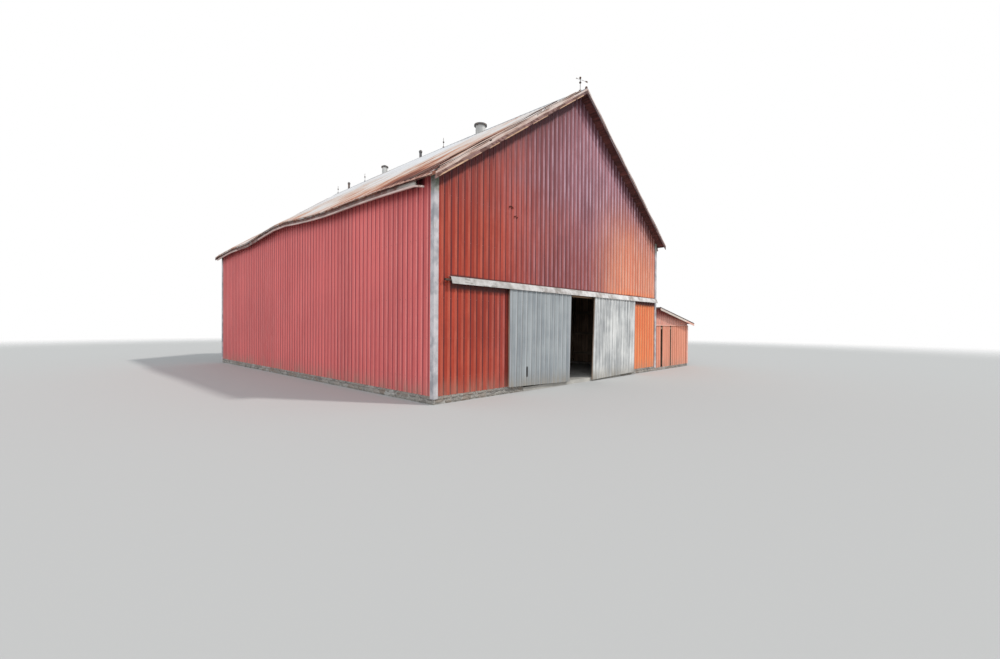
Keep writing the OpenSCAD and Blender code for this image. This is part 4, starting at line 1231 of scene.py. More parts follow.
    def rake_slivers(self, side: int, y: float, outward: int) -> MeshParts:
        """Makes the broken laths that hang on along the rake board's lower edge.

        Args:
            side: -1 for the left slope, 1 for the right one.
            y: the rake's edge.
            outward: the way that the rake faces, -1 or 1.

        Returns:
            The piece's points and faces.
        """
        parts = MeshParts()
        face = y - outward * 0.005
        x = 0.22
        while x < self.surface.half - 0.25:
            end = min(self.surface.half - 0.03, x + self.rng.uniform(0.25, 1.3))
            high = self.rng.uniform(0.020, 0.048)
            low = self.rng.uniform(-0.014, 0.004)
            rings = []
            for at, taper in ((x, 0.3), (x + 0.05, 1.0), (end - 0.07, 0.9), (end, 0.2)):
                base = self.surface.top(at, y) - 0.170
                z_low, z_high = base + low, base + low + high * taper
                hidden, shown = face - outward * 0.004, face + outward * 0.007
                section = [(side * at, hidden, z_low), (side * at, shown, z_low),
                           (side * at, shown, z_high), (side * at, hidden, z_high)]
                rings.append(section if side * outward < 0 else section[::-1])
            parts.tube(rings)
            close = self.rng.random() < 0.6
            x = end + (self.rng.uniform(0.02, 0.10) if close else self.rng.uniform(0.2, 0.6))
        return parts

    def lifted_lap(self, side: int, y: float, outward: int) -> tuple[MeshParts, MeshParts]:
        """Makes the lifted edge of the sheet behind the first one.

        Args:
            side: -1 for the left slope, 1 for the right one.
            y: the rake's edge.
            outward: the way that the rake faces, -1 or 1.

        Returns:
            The sheet, and a dark piece of painted shade in the gap under it.
        """
        sheet, gap = MeshParts(), MeshParts()
        seam = y - outward * (SHEET_WIDTH + 0.10)
        inner, length = 0.34, self.surface.half - 0.42
        steps = 30
        phase = self.rng.uniform(0.0, 6.28)
        sheet_rings, gap_rings = [], []
        for k in range(steps + 1):
            x = inner + length * k / steps
            wave = 0.5 + 0.3 * math.sin(phase + 0.37 * k) + 0.2 * math.sin(2.1 * phase + 1.1 * k)
            lift = RIB_RISE * 0.4 + 0.044 * wave
            low, back = self.surface.top(x, seam), seam - outward * 0.42
            end = self.surface.top(x, back)
            tip = seam + outward * 0.012
            crest = end + RIB_RISE
            top = [(side * x, tip, low + lift), (side * x, tip, low + lift + 0.004),
                   (side * x, back, crest + 0.002), (side * x, back, crest - 0.002)]
            under = [(side * x, seam, low - 0.003), (side * x, seam, low + lift - 0.001),
                     (side * x, back, crest - 0.003), (side * x, back, end - 0.003)]
            flip = side * outward < 0
            sheet_rings.append(top[::-1] if flip else top)
            gap_rings.append(under[::-1] if flip else under)
        sheet.tube(sheet_rings)
        gap.tube(gap_rings)
        return sheet, gap

    def screws(self) -> MeshParts:
        """Makes the roof's screws, in rows beside the ribs.

        Returns:
            The piece's points and faces.
        """
        parts = MeshParts()
        template = screw_template()
        rows = [x for x in (0.3 + 0.77 * k for k in range(9)) if x <= self.surface.half - 0.05]
        for y in self.rib_lines()[:-1]:
            for x in rows:
                place_y = y + SCREW_BESIDE + self.rng.uniform(-SCREW_STRAY, SCREW_STRAY)
                above, below = self.surface.top(x - 0.1, place_y), self.surface.top(x + 0.1, place_y)
                slope = (above - below) / 0.2
                for side in (-1, 1):
                    direction = Vector((side * slope, 0.0, 1.0)).normalized()
                    place = (side * x, place_y, self.surface.top(x, place_y) + 0.001)
                    parts.placed(template, facing_matrix(place, direction))
        return parts

    def build(self) -> None:
        """Makes the roof's pieces."""
        for side, word in ((-1, "left"), (1, "right")):
            self.ribs(side).build(f"roof_ribs_{word}", self.metal, BARN, "roof_metal")
            self.sheet_ends(side).build(f"roof_sheet_ends_{word}", self.end_metal, BARN, "roof_metal")
            for y, outward, place in ((self.surface.front, -1, "front"), (self.surface.back, 1, "back")):
                loose = side < 0 and outward < 0
                shaded = side > 0 and outward < 0
                metal = self.shaded_metal if shaded else self.strip_metal
                lath = self.sliver_wood if loose else metal
                strips = self.rake_strips(side, y, outward, LOOSE_ROWS if loose else FLAT_ROWS)
                strips.build(f"rake_strips_{place}_{word}", metal, BARN, "roof_metal")
                slivers = self.rake_slivers(side, y, outward)
                slivers.build(f"rake_slivers_{place}_{word}", lath, BARN, "timber")
        gap = self.rake_gap(-1, self.surface.front, -1)
        lap, lap_gap = self.lifted_lap(-1, self.surface.front, -1)
        gap.build("rake_gap", self.gap_shade_metal, BARN, "roof_metal")
        lap.build("lifted_lap", self.metal, BARN, "roof_metal")
        lap_gap.build("lap_gap", self.gap_shade_metal, BARN, "roof_metal")
        self.screws().build("roof_screws", self.screw_metal, BARN, "roof_metal")


@dataclass
class SidingDressing:
    """Screws in rows over the walls.

    The front has none behind its doors, which have a left end, a right end and a head, nor
    behind their hood.
    """

    surface: RoofSurface
    metal: bpy.types.Material
    gable_rows: tuple[float, ...] = (0.26, 0.645, 1.645, 2.67, 4.18, 5.3, 6.48, 7.98)
    side_rows: tuple[float, ...] = (0.26, 0.645, 1.645, 2.67, 4.18, 5.2)
    beside_rib: float = 0.046
    under_rake: float = 0.16
    under_eave: float = 0.26
    hood_band: tuple[float, float] = (3.0, 3.42)
    doors: tuple[float, float, float] = (-3.8, 4.1, 3.1)
    lean_to_top: float = 3.0
    rng: Random = field(default_factory=lambda: Random(5))

    def spots(self, half: float) -> list[float]:
        """Finds the places of the screws along a wall, one beside each rib.

        Args:
            half: half the wall's length.

        Returns:
            The places.
        """
        first = -half + CORNER_BOARD + RIB_PITCH / 2
        count = int((2 * half - 2 * CORNER_BOARD - 0.08) / RIB_PITCH)
        return [first + i * RIB_PITCH + self.beside_rib for i in range(count)]

    def gable(self, y: float, outward: int) -> MeshParts:
        """Makes the screws of one gable wall.

        Args:
            y: the wall's outer face.
            outward: the way that it faces, -1 or 1.

        Returns:
            The piece's points and faces.
        """
        parts = MeshParts()
        template = screw_template()
        direction = Vector((0.0, outward, 0.0))
        left, right, head = self.doors
        for x in self.spots(HALF_WIDTH):
            limit = self.surface.top(x, y) - self.under_rake
            for z in self.gable_rows:
                behind_door = left < x < right and z < head
                behind_hood = self.hood_band[0] < z < self.hood_band[1]
                if z > limit or outward < 0 and (behind_door or behind_hood):
                    continue
                place = (x, y, z + self.rng.uniform(-SCREW_STRAY, SCREW_STRAY))
                parts.placed(template, facing_matrix(place, direction))
        return parts

    def side(self, side: int) -> MeshParts:
        """Makes the screws of one side wall, above the lean-to where it stands.

        Args:
            side: -1 for the left wall, 1 for the right one.

        Returns:
            The piece's points and faces.
        """
        parts = MeshParts()
        template = screw_template()
        direction = Vector((side, 0.0, 0.0))
        for y in self.spots(HALF_LENGTH):
            limit = self.surface.top(HALF_WIDTH, y) - self.under_eave
            for z in self.side_rows:
                covered = side > 0 and y < SHED_CLEAR and z < self.lean_to_top
                if z > limit or covered:
                    continue
                place = (side * HALF_WIDTH, y, z + self.rng.uniform(-SCREW_STRAY, SCREW_STRAY))
                parts.placed(template, facing_matrix(place, direction))
        return parts

    def build(self) -> None:
        """Makes one piece of screws a wall."""
        self.gable(-HALF_LENGTH, -1).build("screws_front", self.metal, BARN, "red_siding")
        self.gable(HALF_LENGTH, 1).build("screws_back", self.metal, BARN, "red_siding")
        self.side(-1).build("screws_left", self.metal, BARN, "red_siding")
        self.side(1).build("screws_right", self.metal, BARN, "red_siding")


@dataclass
class DoorDressing:
    """Screws over a sliding door's rails."""

    node: str
    body: str
    metal: bpy.types.Material
    rng: Random = field(default_factory=lambda: Random(3))

    def build(self) -> None:
        """Makes the door's pieces on its leaf."""
        low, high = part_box(self.node)
        flat = high.y - 0.008
        template = screw_template()
        screws = MeshParts()
        direction = Vector((0.0, -1.0, 0.0))
        count = int((high.x - low.x - 0.3) / RIB_PITCH)
        first = (low.x + high.x - (count - 1) * RIB_PITCH) / 2
        for z in (low.z + 0.22, (low.z + high.z) / 2, high.z - 0.07):
            for i in range(count):
                x = first + i * RIB_PITCH + SCREW_BESIDE
                place = (x, flat, z + self.rng.uniform(-SCREW_STRAY, SCREW_STRAY))
                screws.placed(template, facing_matrix(place, direction))
        screws.build(f"{self.node}_screws", self.metal, self.body, "door_metal")


@dataclass
class HoodDressing:
    """Lap straps over the joints of the track's hood, and nails along both its edges."""

    paint: bpy.types.Material
    metal: bpy.types.Material
    joints: tuple[float, ...] = (-2.75, 0.32, 3.30)
    strap: float = 0.09
    slant_depth: float = 0.065
    nail_pitch: float = 0.61

    def build(self) -> None:
        """Makes the straps and the nails on the hood's slanted face."""
        low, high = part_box("track_hood")
        shoulder = low.y + self.slant_depth
        straps = MeshParts()
        for x in self.joints:
            rings = []
            for at in (x - self.strap / 2, x + self.strap / 2):
                rings.append([
                    (at, low.y - 0.003, low.z), (at, shoulder - 0.0055, high.z - 0.018),
                    (at, shoulder + 0.0005, high.z - 0.02), (at, low.y + 0.003, low.z),
                ])
            straps.tube(rings[::-1])
        straps.build("hood_straps", self.paint, BARN, "white_trim")
        nails = MeshParts()
        template = screw_template()
        slant = Vector((0.0, -(high.z - low.z), shoulder - low.y)).normalized()
        x = low.x + 0.2
        while x < high.x - 0.1:
            for share in (0.12, 0.88):
                y = low.y + (shoulder - low.y) * share - 0.0005
                z = low.z + (high.z - 0.02 - low.z) * share
                nails.placed(template, facing_matrix((x, y, z), slant))
            x += self.nail_pitch
        nails.build("hood_nails", self.metal, BARN, "white_trim")


@dataclass
class GableDamage:
    """Torn flaps of sheet that stand out under the two holes in the front gable."""

    material: bpy.types.Material
    wall_y: float = -HALF_LENGTH
    holes: tuple[tuple[float, float, float, float], ...] = (
        (-3.48, 5.46, 0.20, 0.085),
        (-3.28, 5.21, 0.17, 0.07),
    )

    def build(self) -> None:
        """Makes a bent flap at each hole, which has an X, a Z, a width and a height."""
        flaps = MeshParts()
        for x, z, width, height in self.holes:
            steps = 6
            rings = []
            for k in range(steps + 1):
                across = -width / 2 + width * k / steps
                rag = 0.008 * math.sin(5.1 * k) + 0.010 * (k % 2)
                out = 0.045 + 0.012 * math.sin(2.0 * k)
                foot = (x + across, self.wall_y + 0.002, z - height / 2 + 0.004)
                tip = (x + across * 0.9, self.wall_y - out, z - height * 0.15 + rag)
                rings.append([foot, tip, (tip[0], tip[1] + 0.001, tip[2] + 0.002),
                              (foot[0], foot[1] + 0.001, foot[2] + 0.002)])
            flaps.tube(rings[::-1])
        flaps.build("gable_torn_flaps", self.material, BARN, "red_siding")


@dataclass
class RidgeDressing:
    """Laps, nails and end flap of the ridge cap, bands round the ventilators, and a rod's stub."""

    surface: RoofSurface
    metal: bpy.types.Material
    screw_metal: bpy.types.Material
    band_metal: bpy.types.Material
    stub_metal: bpy.types.Material
    wing: float = 0.26
    wing_rise: float = 0.014
    peak_rise: float = 0.020
    length: float = 3.05

    def cap_height(self, x: float, y: float) -> float:
        """Finds the height of the ridge cap's top face.

        Args:
            x: the place across the barn.
            y: the place along the barn.

        Returns:
            The height.
        """
        peak = self.surface.top(0.0, y) + self.peak_rise
        edge = self.surface.top(self.wing, y) + self.wing_rise
        return peak + (edge - peak) * abs(x) / self.wing

    def covers(self) -> MeshParts:
        """Makes the laps where one length of cap lies over the next.

        Returns:
            The piece's points and faces.
        """
        parts = MeshParts()
        edge = self.wing + 0.004
        y = self.surface.front + self.length
        while y < self.surface.back - 1.0:
            rings = []
            for at in (y - 0.05, y + 0.05):
                ring = [(x, at, self.cap_height(x, at) + 0.0045) for x in (-edge, 0.0, edge)]
                ring += [(x, at, self.cap_height(x, at) - 0.004) for x in (edge, 0.0, -edge)]
                rings.append(ring)
            parts.tube(rings)
            y += self.length
        return parts

    def nails(self) -> MeshParts:
        """Makes the cap's nails along both wings.

        Returns:
            The piece's points and faces.
        """
        parts = MeshParts()
        template = screw_template()
        y = self.surface.front + 0.12
        while y < self.surface.back - 0.1:
            for side in (-1, 1):
                x = side * (self.wing - 0.04)
                place = (x, y, self.cap_height(x, y))
                parts.placed(template, facing_matrix(place, Vector((side * 0.66, 0, 1)).normalized()))
            y += 2 * RIB_PITCH
        return parts

    def ventilator_bands(self) -> MeshParts:
        """Makes a band under each ventilator's cap, and a second one lower on the wide ones.

        Returns:
            The piece's points and faces.
        """
        parts = MeshParts()
        for index, (centre, members) in enumerate(ventilator_points()):
            top = max(co.z for co in members)
            radius = max(math.hypot(co.x, co.y - centre) for co in members) / 1.3
            bands = ((top - 0.150, 0.022, 0.004), (top - 0.30, 0.018, 0.003))
            for z, height, more in bands[:1] if index in THIN_PIPES else bands:
                ring = circle(radius + more, 28)
                parts.tube([[(x, centre + y, level) for x, y in ring] for level in (z, z + height)])
        return parts

    def peak_stub(self) -> MeshParts:
        """Makes the stub of a broken rod that stands on the front end of the ridge.

        Returns:
            The piece's points and faces.
        """
        parts = MeshParts()
        y = self.surface.front + 0.050
        base = self.cap_height(0.0, y)
        for radius, low, high in ((0.048, -0.030, 0.016), (0.034, 0.014, 0.052)):
            ring = circle(radius, 12)
            parts.tube([[(across, y + along, base + level) for across, along in ring]
                        for level in (low, high)])
        return parts

    def end_flap(self) -> MeshParts:
        """Makes the flap at the cap's back end, folded down over the ends of the sheets.

        Returns:
            The piece's points and faces.
        """
        parts = MeshParts()
        back = self.surface.back
        peak = self.cap_height(0.0, back) - 0.002
        edge = self.cap_height(self.wing, back) - 0.002
        outline = ((-self.wing, edge), (0.0, peak), (self.wing, edge), (self.wing, edge - 0.022),
                   (-self.wing, edge - 0.022))
        parts.tube([[(x, at, z) for x, z in outline] for at in (back + 0.0008, back + 0.0035)])
        return parts

    def build(self) -> None:
        """Makes the ridge's pieces."""
        self.end_flap().build("ridge_cap_end_flap", self.metal, BARN, "galvanised")
        self.covers().build("ridge_cap_laps", self.metal, BARN, "galvanised")
        self.nails().build("ridge_cap_nails", self.screw_metal, BARN, "galvanised")
        self.ventilator_bands().build("ventilator_bands", self.band_metal, BARN, "galvanised")
        self.peak_stub().build("peak_stub", self.stub_metal, BARN, "dark_iron")


@dataclass
class FootStones:
    """Rounded faces of the footing's stones, which stand a little out of the mortar."""

    material: bpy.types.Material
    height: float = 0.2
    threshold: tuple[float, float] = (-2.95, 3.15)
    rng: Random = field(default_factory=lambda: Random(23))

    def stone(self, parts: MeshParts, centre: Vector, along: Vector, outward: Vector,
              size: tuple[float, float]) -> None:
        """Adds one stone's rounded face.

        Args:
            parts: the points and faces that it is added to.
            centre: its middle, on the wall's face.
            along: the direction of the wall.
            outward: the way that the wall faces.
            size: its width and its height.
        """
        rings = 10
        rows: list[list[Vector]] = []
        wobble = [self.rng.uniform(0.86, 1.06) for _ in range(rings)]
        for reach, out in ((1.0, -0.012), (0.97, 0.005), (0.8, 0.013), (0.45, 0.018)):
            row = []
            for k in range(rings):
                angle = 2 * math.pi * k / rings
                cos, sin = math.cos(angle), math.sin(angle)
                square = 1.0 / max(abs(cos), abs(sin)) ** 0.55
                place = centre + along * (size[0] / 2 * reach * cos * square * wobble[k])
                place += Vector((0, 0, size[1] / 2 * reach * sin * square * wobble[k])) + outward * out
                row.append(place)
            rows.append(row)
        parts.tube(rows)

    def course(self, start: Vector, end: Vector, outward: Vector, top: float) -> MeshParts:
        """Lays two rows of stones along a wall's foot.

        Args:
            start: one end of the wall.
            end: its other end.
            outward: the way that it faces.
            top: the height of the footing.

        Returns:
            The piece's points and faces.
        """
        parts = MeshParts()
        along = (end - start).normalized()
        length = (end - start).length
        for low, high in ((0.004, top * 0.55), (top * 0.55, top - 0.004)):
            at = 0.01
            while at < length - 0.12:
                width = min(self.rng.uniform(0.16, 0.42), length - at - 0.01)
                centre = start + along * (at + width / 2) + Vector((0, 0, (low + high) / 2))
                self.stone(parts, centre, along, outward, (width * 0.86, (high - low) * 0.84))
                at += width
        return parts

    def build(self) -> None:
        """Makes one piece of stones for each side of the barn and for the lean-to."""
        wide, deep = HALF_WIDTH, HALF_LENGTH
        sill_left, sill_right = self.threshold
        left, right, front, back = (-1, 0, 0), (1, 0, 0), (0, -1, 0), (0, 1, 0)
        runs = (
            ("left", (-wide, -deep, 0), (-wide, deep, 0), left, self.height),
            ("right", (wide, SHED_CLEAR, 0), (wide, deep, 0), right, self.height),
            ("back", (-wide, deep, 0), (wide, deep, 0), back, self.height),
            ("front_left", (-wide, -deep, 0), (sill_left, -deep, 0), front, self.height),
            ("front_right", (sill_right, -deep, 0), (wide, -deep, 0), front, self.height),
            ("shed_side", (SHED_SIDE, -deep, 0), (SHED_SIDE, SHED_BACK, 0), right, SHED_FOOT),
            ("shed_front", (SHED_START, -deep, 0), (SHED_SIDE, -deep, 0), front, SHED_FOOT),
        )
        for name, start, end, outward, top in runs:
            parts = self.course(Vector(start), Vector(end), Vector(outward), top)
            parts.build(f"foot_stones_{name}", self.material, BARN, "stone", smooth=True)


@dataclass
class LeanToDressing:
    """Ribs and screws on the lean-to's roof, and the drip strip on its front."""

    metal: bpy.types.Material
    screw_metal: bpy.types.Material
    trim: bpy.types.Material
    slope: float = 0.17
    screw_rows: int = 5
    screw_pitch: float = 0.92
    rng: Random = field(default_factory=lambda: Random(31))

    def build(self) -> None:
        """Makes the lean-to's pieces."""
        low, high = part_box("shed_roof")
        ribs = MeshParts()
        screws = MeshParts()
        template = screw_template()
        across = Vector((self.slope, 0.0, 1.0)).normalized()
        y = low.y + 0.06
        inner = low.x + 0.05
        while y < high.y - 0.03:
            rings = []
            for x in (inner, high.x + 0.006 + self.rng.uniform(0.0, 0.012)):
                z = high.z - self.slope * (x - low.x)
                rings.append([(x, y - RIB_FOOT / 2, z - 0.001), (x, y - RIB_CREST / 2, z + RIB_RISE),
                              (x, y + RIB_CREST / 2, z + RIB_RISE), (x, y + RIB_FOOT / 2, z - 0.001)])
            ribs.tube(rings)
            for k in range(self.screw_rows):
                x = inner + 0.12 + k * self.screw_pitch
                z = high.z - self.slope * (x - low.x)
                beside = y + SCREW_BESIDE
                if beside < high.y - 0.01 and x < high.x - 0.02:
                    screws.placed(template, facing_matrix((x, beside, z), across))
            y += RIB_PITCH
        ribs.build("shed_roof_ribs", self.metal, BARN, "roof_metal")
        screws.build("shed_roof_screws", self.screw_metal, BARN, "roof_metal")
        self.drip_strip().build("shed_drip_strip", self.trim, BARN, "white_trim")

    @staticmethod
    def drip_strip() -> MeshParts:
        """Makes the pale strip along the foot of the front's upper siding.

        Returns:
            The piece's points and faces.
        """
        low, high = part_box("shed_front_upper")
        parts = MeshParts()
        ring = ((low.y - 0.004, low.z + 0.030), (low.y - 0.018, low.z - 0.006),
                (low.y - 0.014, low.z - 0.009), (low.y + 0.012, low.z - 0.0005),
                (low.y + 0.012, low.z + 0.030))
        parts.tube([[(x, y, z) for y, z in ring] for x in (low.x + 0.01, high.x - 0.002)])
        return parts


class BarnScene:
    """The barn: finishes on the CAD nodes and the dressing pieces."""

    SIDE_RIB = -HALF_LENGTH + CORNER_BOARD + RIB_PITCH / 2
    END_RIB = -HALF_WIDTH + CORNER_BOARD + RIB_PITCH / 2
    SHED_RIB = 6.41

    def __init__(self, frame: dict) -> None:
        """Keeps the frame and makes every finish.
        """
        self.nodes: dict[str, bpy.types.Object] = frame["nodes"]
        self.materials = self._finishes()

    @staticmethod
    def _front_regions() -> tuple[Region, ...]:
        """Lists the parts of the front that have tones of their own, and the painted sunlight, sky sheen
        and shadow on it.

        Returns:
            The regions, the last one uppermost.
        """
        # Tone of the painted shadow under the track's hood
        hood_shadow_tone = (0.11, 0.030, 0.024)
        red_end = Region((0.30, 0.033, 0.018), (0.50, 0.070, 0.036), (0.57, 0.125, 0.074),
                         along=((-0.8, -5.0),), up=((8.4, 4.6),))
        # Painted reflection: a lilac sheen of the sky over the upper right part of the gable
        sky_sheen_top = Region((0.20, 0.066, 0.080), (0.37, 0.155, 0.180), (0.64, 0.43, 0.51),
                          along=((-3.6, 0.6),), up=((3.9, 6.8),))
        # Painted sunlight: orange-red towards the lower right of the gable, strongest on the right bay
        sunlit_end = Region((0.68, 0.20, 0.110), (0.82, 0.32, 0.185), (0.88, 0.50, 0.37),
                           along=((0.4, 3.6),), up=((7.9, 3.9),), drift=1.4)
        sunlit_bay = Region((0.80, 0.175, 0.062), (0.90, 0.275, 0.094), (0.92, 0.40, 0.19),
                            along=((2.0, 3.2),), up=((3.6, 3.1),), drift=0.3)
        # Painted shadow: a dark band on the wall just under the hood
        hood_shadow = Region(hood_shadow_tone, hood_shadow_tone, hood_shadow_tone, along=((-5.86, -5.74),),
                            up=((2.86, 2.96), (3.31, 3.25)), drift=0.08)
        return sky_sheen_top, red_end, sunlit_end, sunlit_bay, hood_shadow

    @staticmethod
    def _eave_shadows() -> tuple[Region, ...]:
        """Lists the painted shade on the left wall under the eave, where the fascia and the gutter are
        gone.

        Returns:
            The regions.
        """
        # Painted shade: near-black patches high on the wall at its front end
        eave_shade_tone = (0.018, 0.010, 0.008)
        shaded_open_end = Region(eave_shade_tone, eave_shade_tone, eave_shade_tone, along=((-8.43, -8.37), (-7.78, -7.84)), up=((5.51, 5.57),),
                          drift=0.05)
        shaded_corner = Region(eave_shade_tone, eave_shade_tone, eave_shade_tone, along=((-8.62, -8.67),), up=((5.48, 5.56),),
                             drift=0.05)
        return shaded_open_end, shaded_corner

    def _sidings(self) -> list[Siding]:
        """Lists the paint of each wall.

        Returns:
            The finishes.
        """
        # One red paint in a shaded and a lighter copy: the ends and the lean-to get painted shade, the
        # long walls the lighter one
        shaded_red = ((0.215, 0.050, 0.048), (0.36, 0.100, 0.092), (0.48, 0.24, 0.26))
        lit_red = ((0.54, 0.103, 0.100), (0.76, 0.165, 0.155), (0.83, 0.28, 0.26))
        # The lean-to's upper siding, darkened as painted shadow under its roof's overhang
        shed_upper_in_shadow = ((0.27, 0.060, 0.050), (0.40, 0.105, 0.088), (0.50, 0.19, 0.16))
        shed_panels = ((0.62, 0.20, 0.120), (0.76, 0.31, 0.20), (0.82, 0.42, 0.30))
        # Dark tones for seams and dirt, and for the painted rib shadows and shade
        grime_and_shade, side_grime_and_shade = (0.062, 0.020, 0.026), (0.22, 0.032, 0.046)
        front, back = Vector((0, -1, 0)), Vector((0, 1, 0))
        left, right = Vector((-1, 0, 0)), Vector((1, 0, 0))
        # Painted sunlight on the foot of the lean-to's upper siding, below the painted shadow
        sunlit_foot = Region((0.66, 0.27, 0.20), (0.76, 0.36, 0.28), (0.82, 0.48, 0.40),
                           up=((2.62, 2.30),), drift=0.3)
        return [
            Siding("front_paint", *shaded_red, Axis.X, front, self.END_RIB, grime_and_shade, peak=10.16,
                   regions=self._front_regions()),
            Siding("back_paint", *shaded_red, Axis.X, back, self.END_RIB, grime_and_shade, peak=10.16),
            Siding("left_paint", *lit_red, Axis.Y, left, self.SIDE_RIB, side_grime_and_shade, rib_shadow=-1,
                   rib_shadow_at=0.044, fading=0.62, eave=5.45, mottle=0.26, regions=self._eave_shadows()),
            Siding("right_paint", *lit_red, Axis.Y, right, self.SIDE_RIB, side_grime_and_shade, rib_shadow=-1,
                   rib_shadow_at=0.044, fading=0.6, eave=5.45, mottle=0.26),
            Siding("shed_front_shaded_paint", *shed_upper_in_shadow, Axis.X, front, self.SHED_RIB, foot=SHED_FOOT,
                   fading=0.6, contrast=0.7, regions=(sunlit_foot,)),
            Siding("shed_panel_paint", *shed_panels, Axis.X, front, self.SHED_RIB,
                   (0.26, 0.075, 0.045), foot=SHED_FOOT, fading=0.6, contrast=0.7),
            Siding("shed_side_paint", *shaded_red, Axis.Y, right, self.SIDE_RIB, grime_and_shade, foot=SHED_FOOT),
            Siding("shed_back_paint", *shaded_red, Axis.X, back, self.SHED_RIB, grime_and_shade, foot=SHED_FOOT),
        ]

    def _finishes(self) -> dict[str, bpy.types.Material]:
        """Makes every material.

        Returns:
            The materials by name.
        """
        light, dark = (0.45, 0.335, 0.245), (0.19, 0.130, 0.095)
        kinds = [
            *self._sidings(),
            *[Wood(f"timber_{axis.name.lower()}", light, dark, axis) for axis in Axis],
            Wood("header_wood", (0.36, 0.24, 0.15), (0.17, 0.10, 0.06), Axis.X),
            # The rake board turns darker on the right slope as painted shade
            PaintedTrim("rake_paint", (0.29, 0.150, 0.135), (0.125, 0.062, 0.050), Axis.X, peel=0.50,
                        stains=0.5, shift=Shift(Axis.X, -0.6, 0.3, 0.0, 0.9, (0.075, 0.048, 0.052))),
            # The corner board's top turns dark greenish grey as painted shade
            PaintedTrim("corner_paint", (0.595, 0.565, 0.575), (0.36, 0.34, 0.33), Axis.Z, peel=0.58,
                        stain=(0.24, 0.245, 0.265), stains=0.75, blot=3.1,
                        shift=Shift(Axis.Z, 5.24, 5.36, 0.0, 0.75, (0.13, 0.15, 0.10))),
            PaintedTrim("hood_paint", (0.74, 0.715, 0.70), (0.26, 0.235, 0.215), Axis.X, peel=0.57,
                        stains=0.7, blot=2.4,
                        shift=Shift(Axis.X, -5.75, 3.2, 0.48, 0.0, (0.27, 0.265, 0.25))),
            PaintedTrim("fascia_paint", (0.50, 0.46, 0.42), (0.20, 0.14, 0.11), Axis.Y, peel=0.53,
                        stains=0.4, shift=Shift(Axis.Y, -8.1, -7.0, 0.0, 0.92, (0.20, 0.092, 0.078))),
            PaintedTrim("gutter_paint", (0.66, 0.50, 0.455), (0.33, 0.20, 0.16), Axis.Y, peel=0.58,
                        stains=0.35),
            PaintedTrim("shed_trim_paint", (0.76, 0.66, 0.58), (0.46, 0.34, 0.27), Axis.Z, peel=0.6,
                        stains=0.3, shift=Shift(Axis.Z, 2.30, 2.24, 0.0, 1.0, (0.76, 0.40, 0.31))),
            RustedRoof("roof_rust"),
            RustedRoof("sheet_end_rust", aged=0.45, layered=0.0, stops=(
                (0.0, (0.72, 0.55, 0.48)), (0.4, (0.62, 0.39, 0.31)), (0.7, (0.43, 0.21, 0.155)),
                (1.0, (0.17, 0.070, 0.050)))),
            RustedRoof("rake_strip_rust", aged=0.4, stops=(
                (0.0, (0.70, 0.61, 0.59)), (0.4, (0.60, 0.46, 0.41)), (0.65, (0.38, 0.235, 0.185)),
                (0.9, (0.18, 0.095, 0.075)))),
            RustedRoof("shaded_strip_rust", aged=0.4, layered=0.0, stops=(
                (0.0, (0.20, 0.155, 0.165)), (0.5, (0.13, 0.085, 0.088)), (0.9, (0.06, 0.036, 0.036)))),
            Wood("sliver_wood", (0.66, 0.43, 0.28), (0.42, 0.24, 0.15), Axis.X, 3.0),
            # Near-black sheet of painted shade in the gaps under lifted edges
            RustedRoof("gap_shade_rust", layered=0.0, stops=(
                (0.2, (0.085, 0.050, 0.040)), (0.5, (0.055, 0.030, 0.024)),
                (0.8, (0.030, 0.017, 0.014)))),
            RustedRoof("shed_roof_rust", 4.1, 10.4, bias=0.10, layered=0.0, stops=(
                (0.0, (0.27, 0.27, 0.285)), (0.5, (0.17, 0.145, 0.14)), (0.9, (0.075, 0.050, 0.042)))),
            # The same white-grey door paint in two copies: the left door's darker, bluer one is painted
            # shade
            DoorPaint("left_door_shaded_paint", (0.345, 0.37, 0.38), (0.235, 0.258, 0.275), (0.48, 0.50, 0.51),
                      foot=0.11, first_rib=-3.620 + DOOR_RIB, lean=0.01704, tear=(-2.845, 0.445, 0.745)),
            DoorPaint("right_door_paint", (0.70, 0.70, 0.68), (0.31, 0.32, 0.325), (0.84, 0.84, 0.82),
                      foot=0.05, first_rib=1.015 + DOOR_RIB, lean=0.03156),
            Galvanised("cap_zinc", (0.33, 0.345, 0.37), (0.19, 0.195, 0.21), rust=0.6, metallic=0.15),
            Galvanised("screw_zinc", (0.42, 0.40, 0.38), (0.24, 0.21, 0.19), rust=0.55),
            Galvanised("painted_screws", (0.36, 0.15, 0.14), (0.20, 0.06, 0.055), rust=0.6,
                       metallic=0.0),
            DarkIron("iron"),
            FieldStone("field_stone"),
            Concrete("slab_concrete"),
            Concrete("sill_concrete", (0.46, 0.44, 0.40)),
        ]
        made = {kind.name: kind.build() for kind in kinds}
        made["ventilator_metal"] = self._ventilator_metal()
        return made

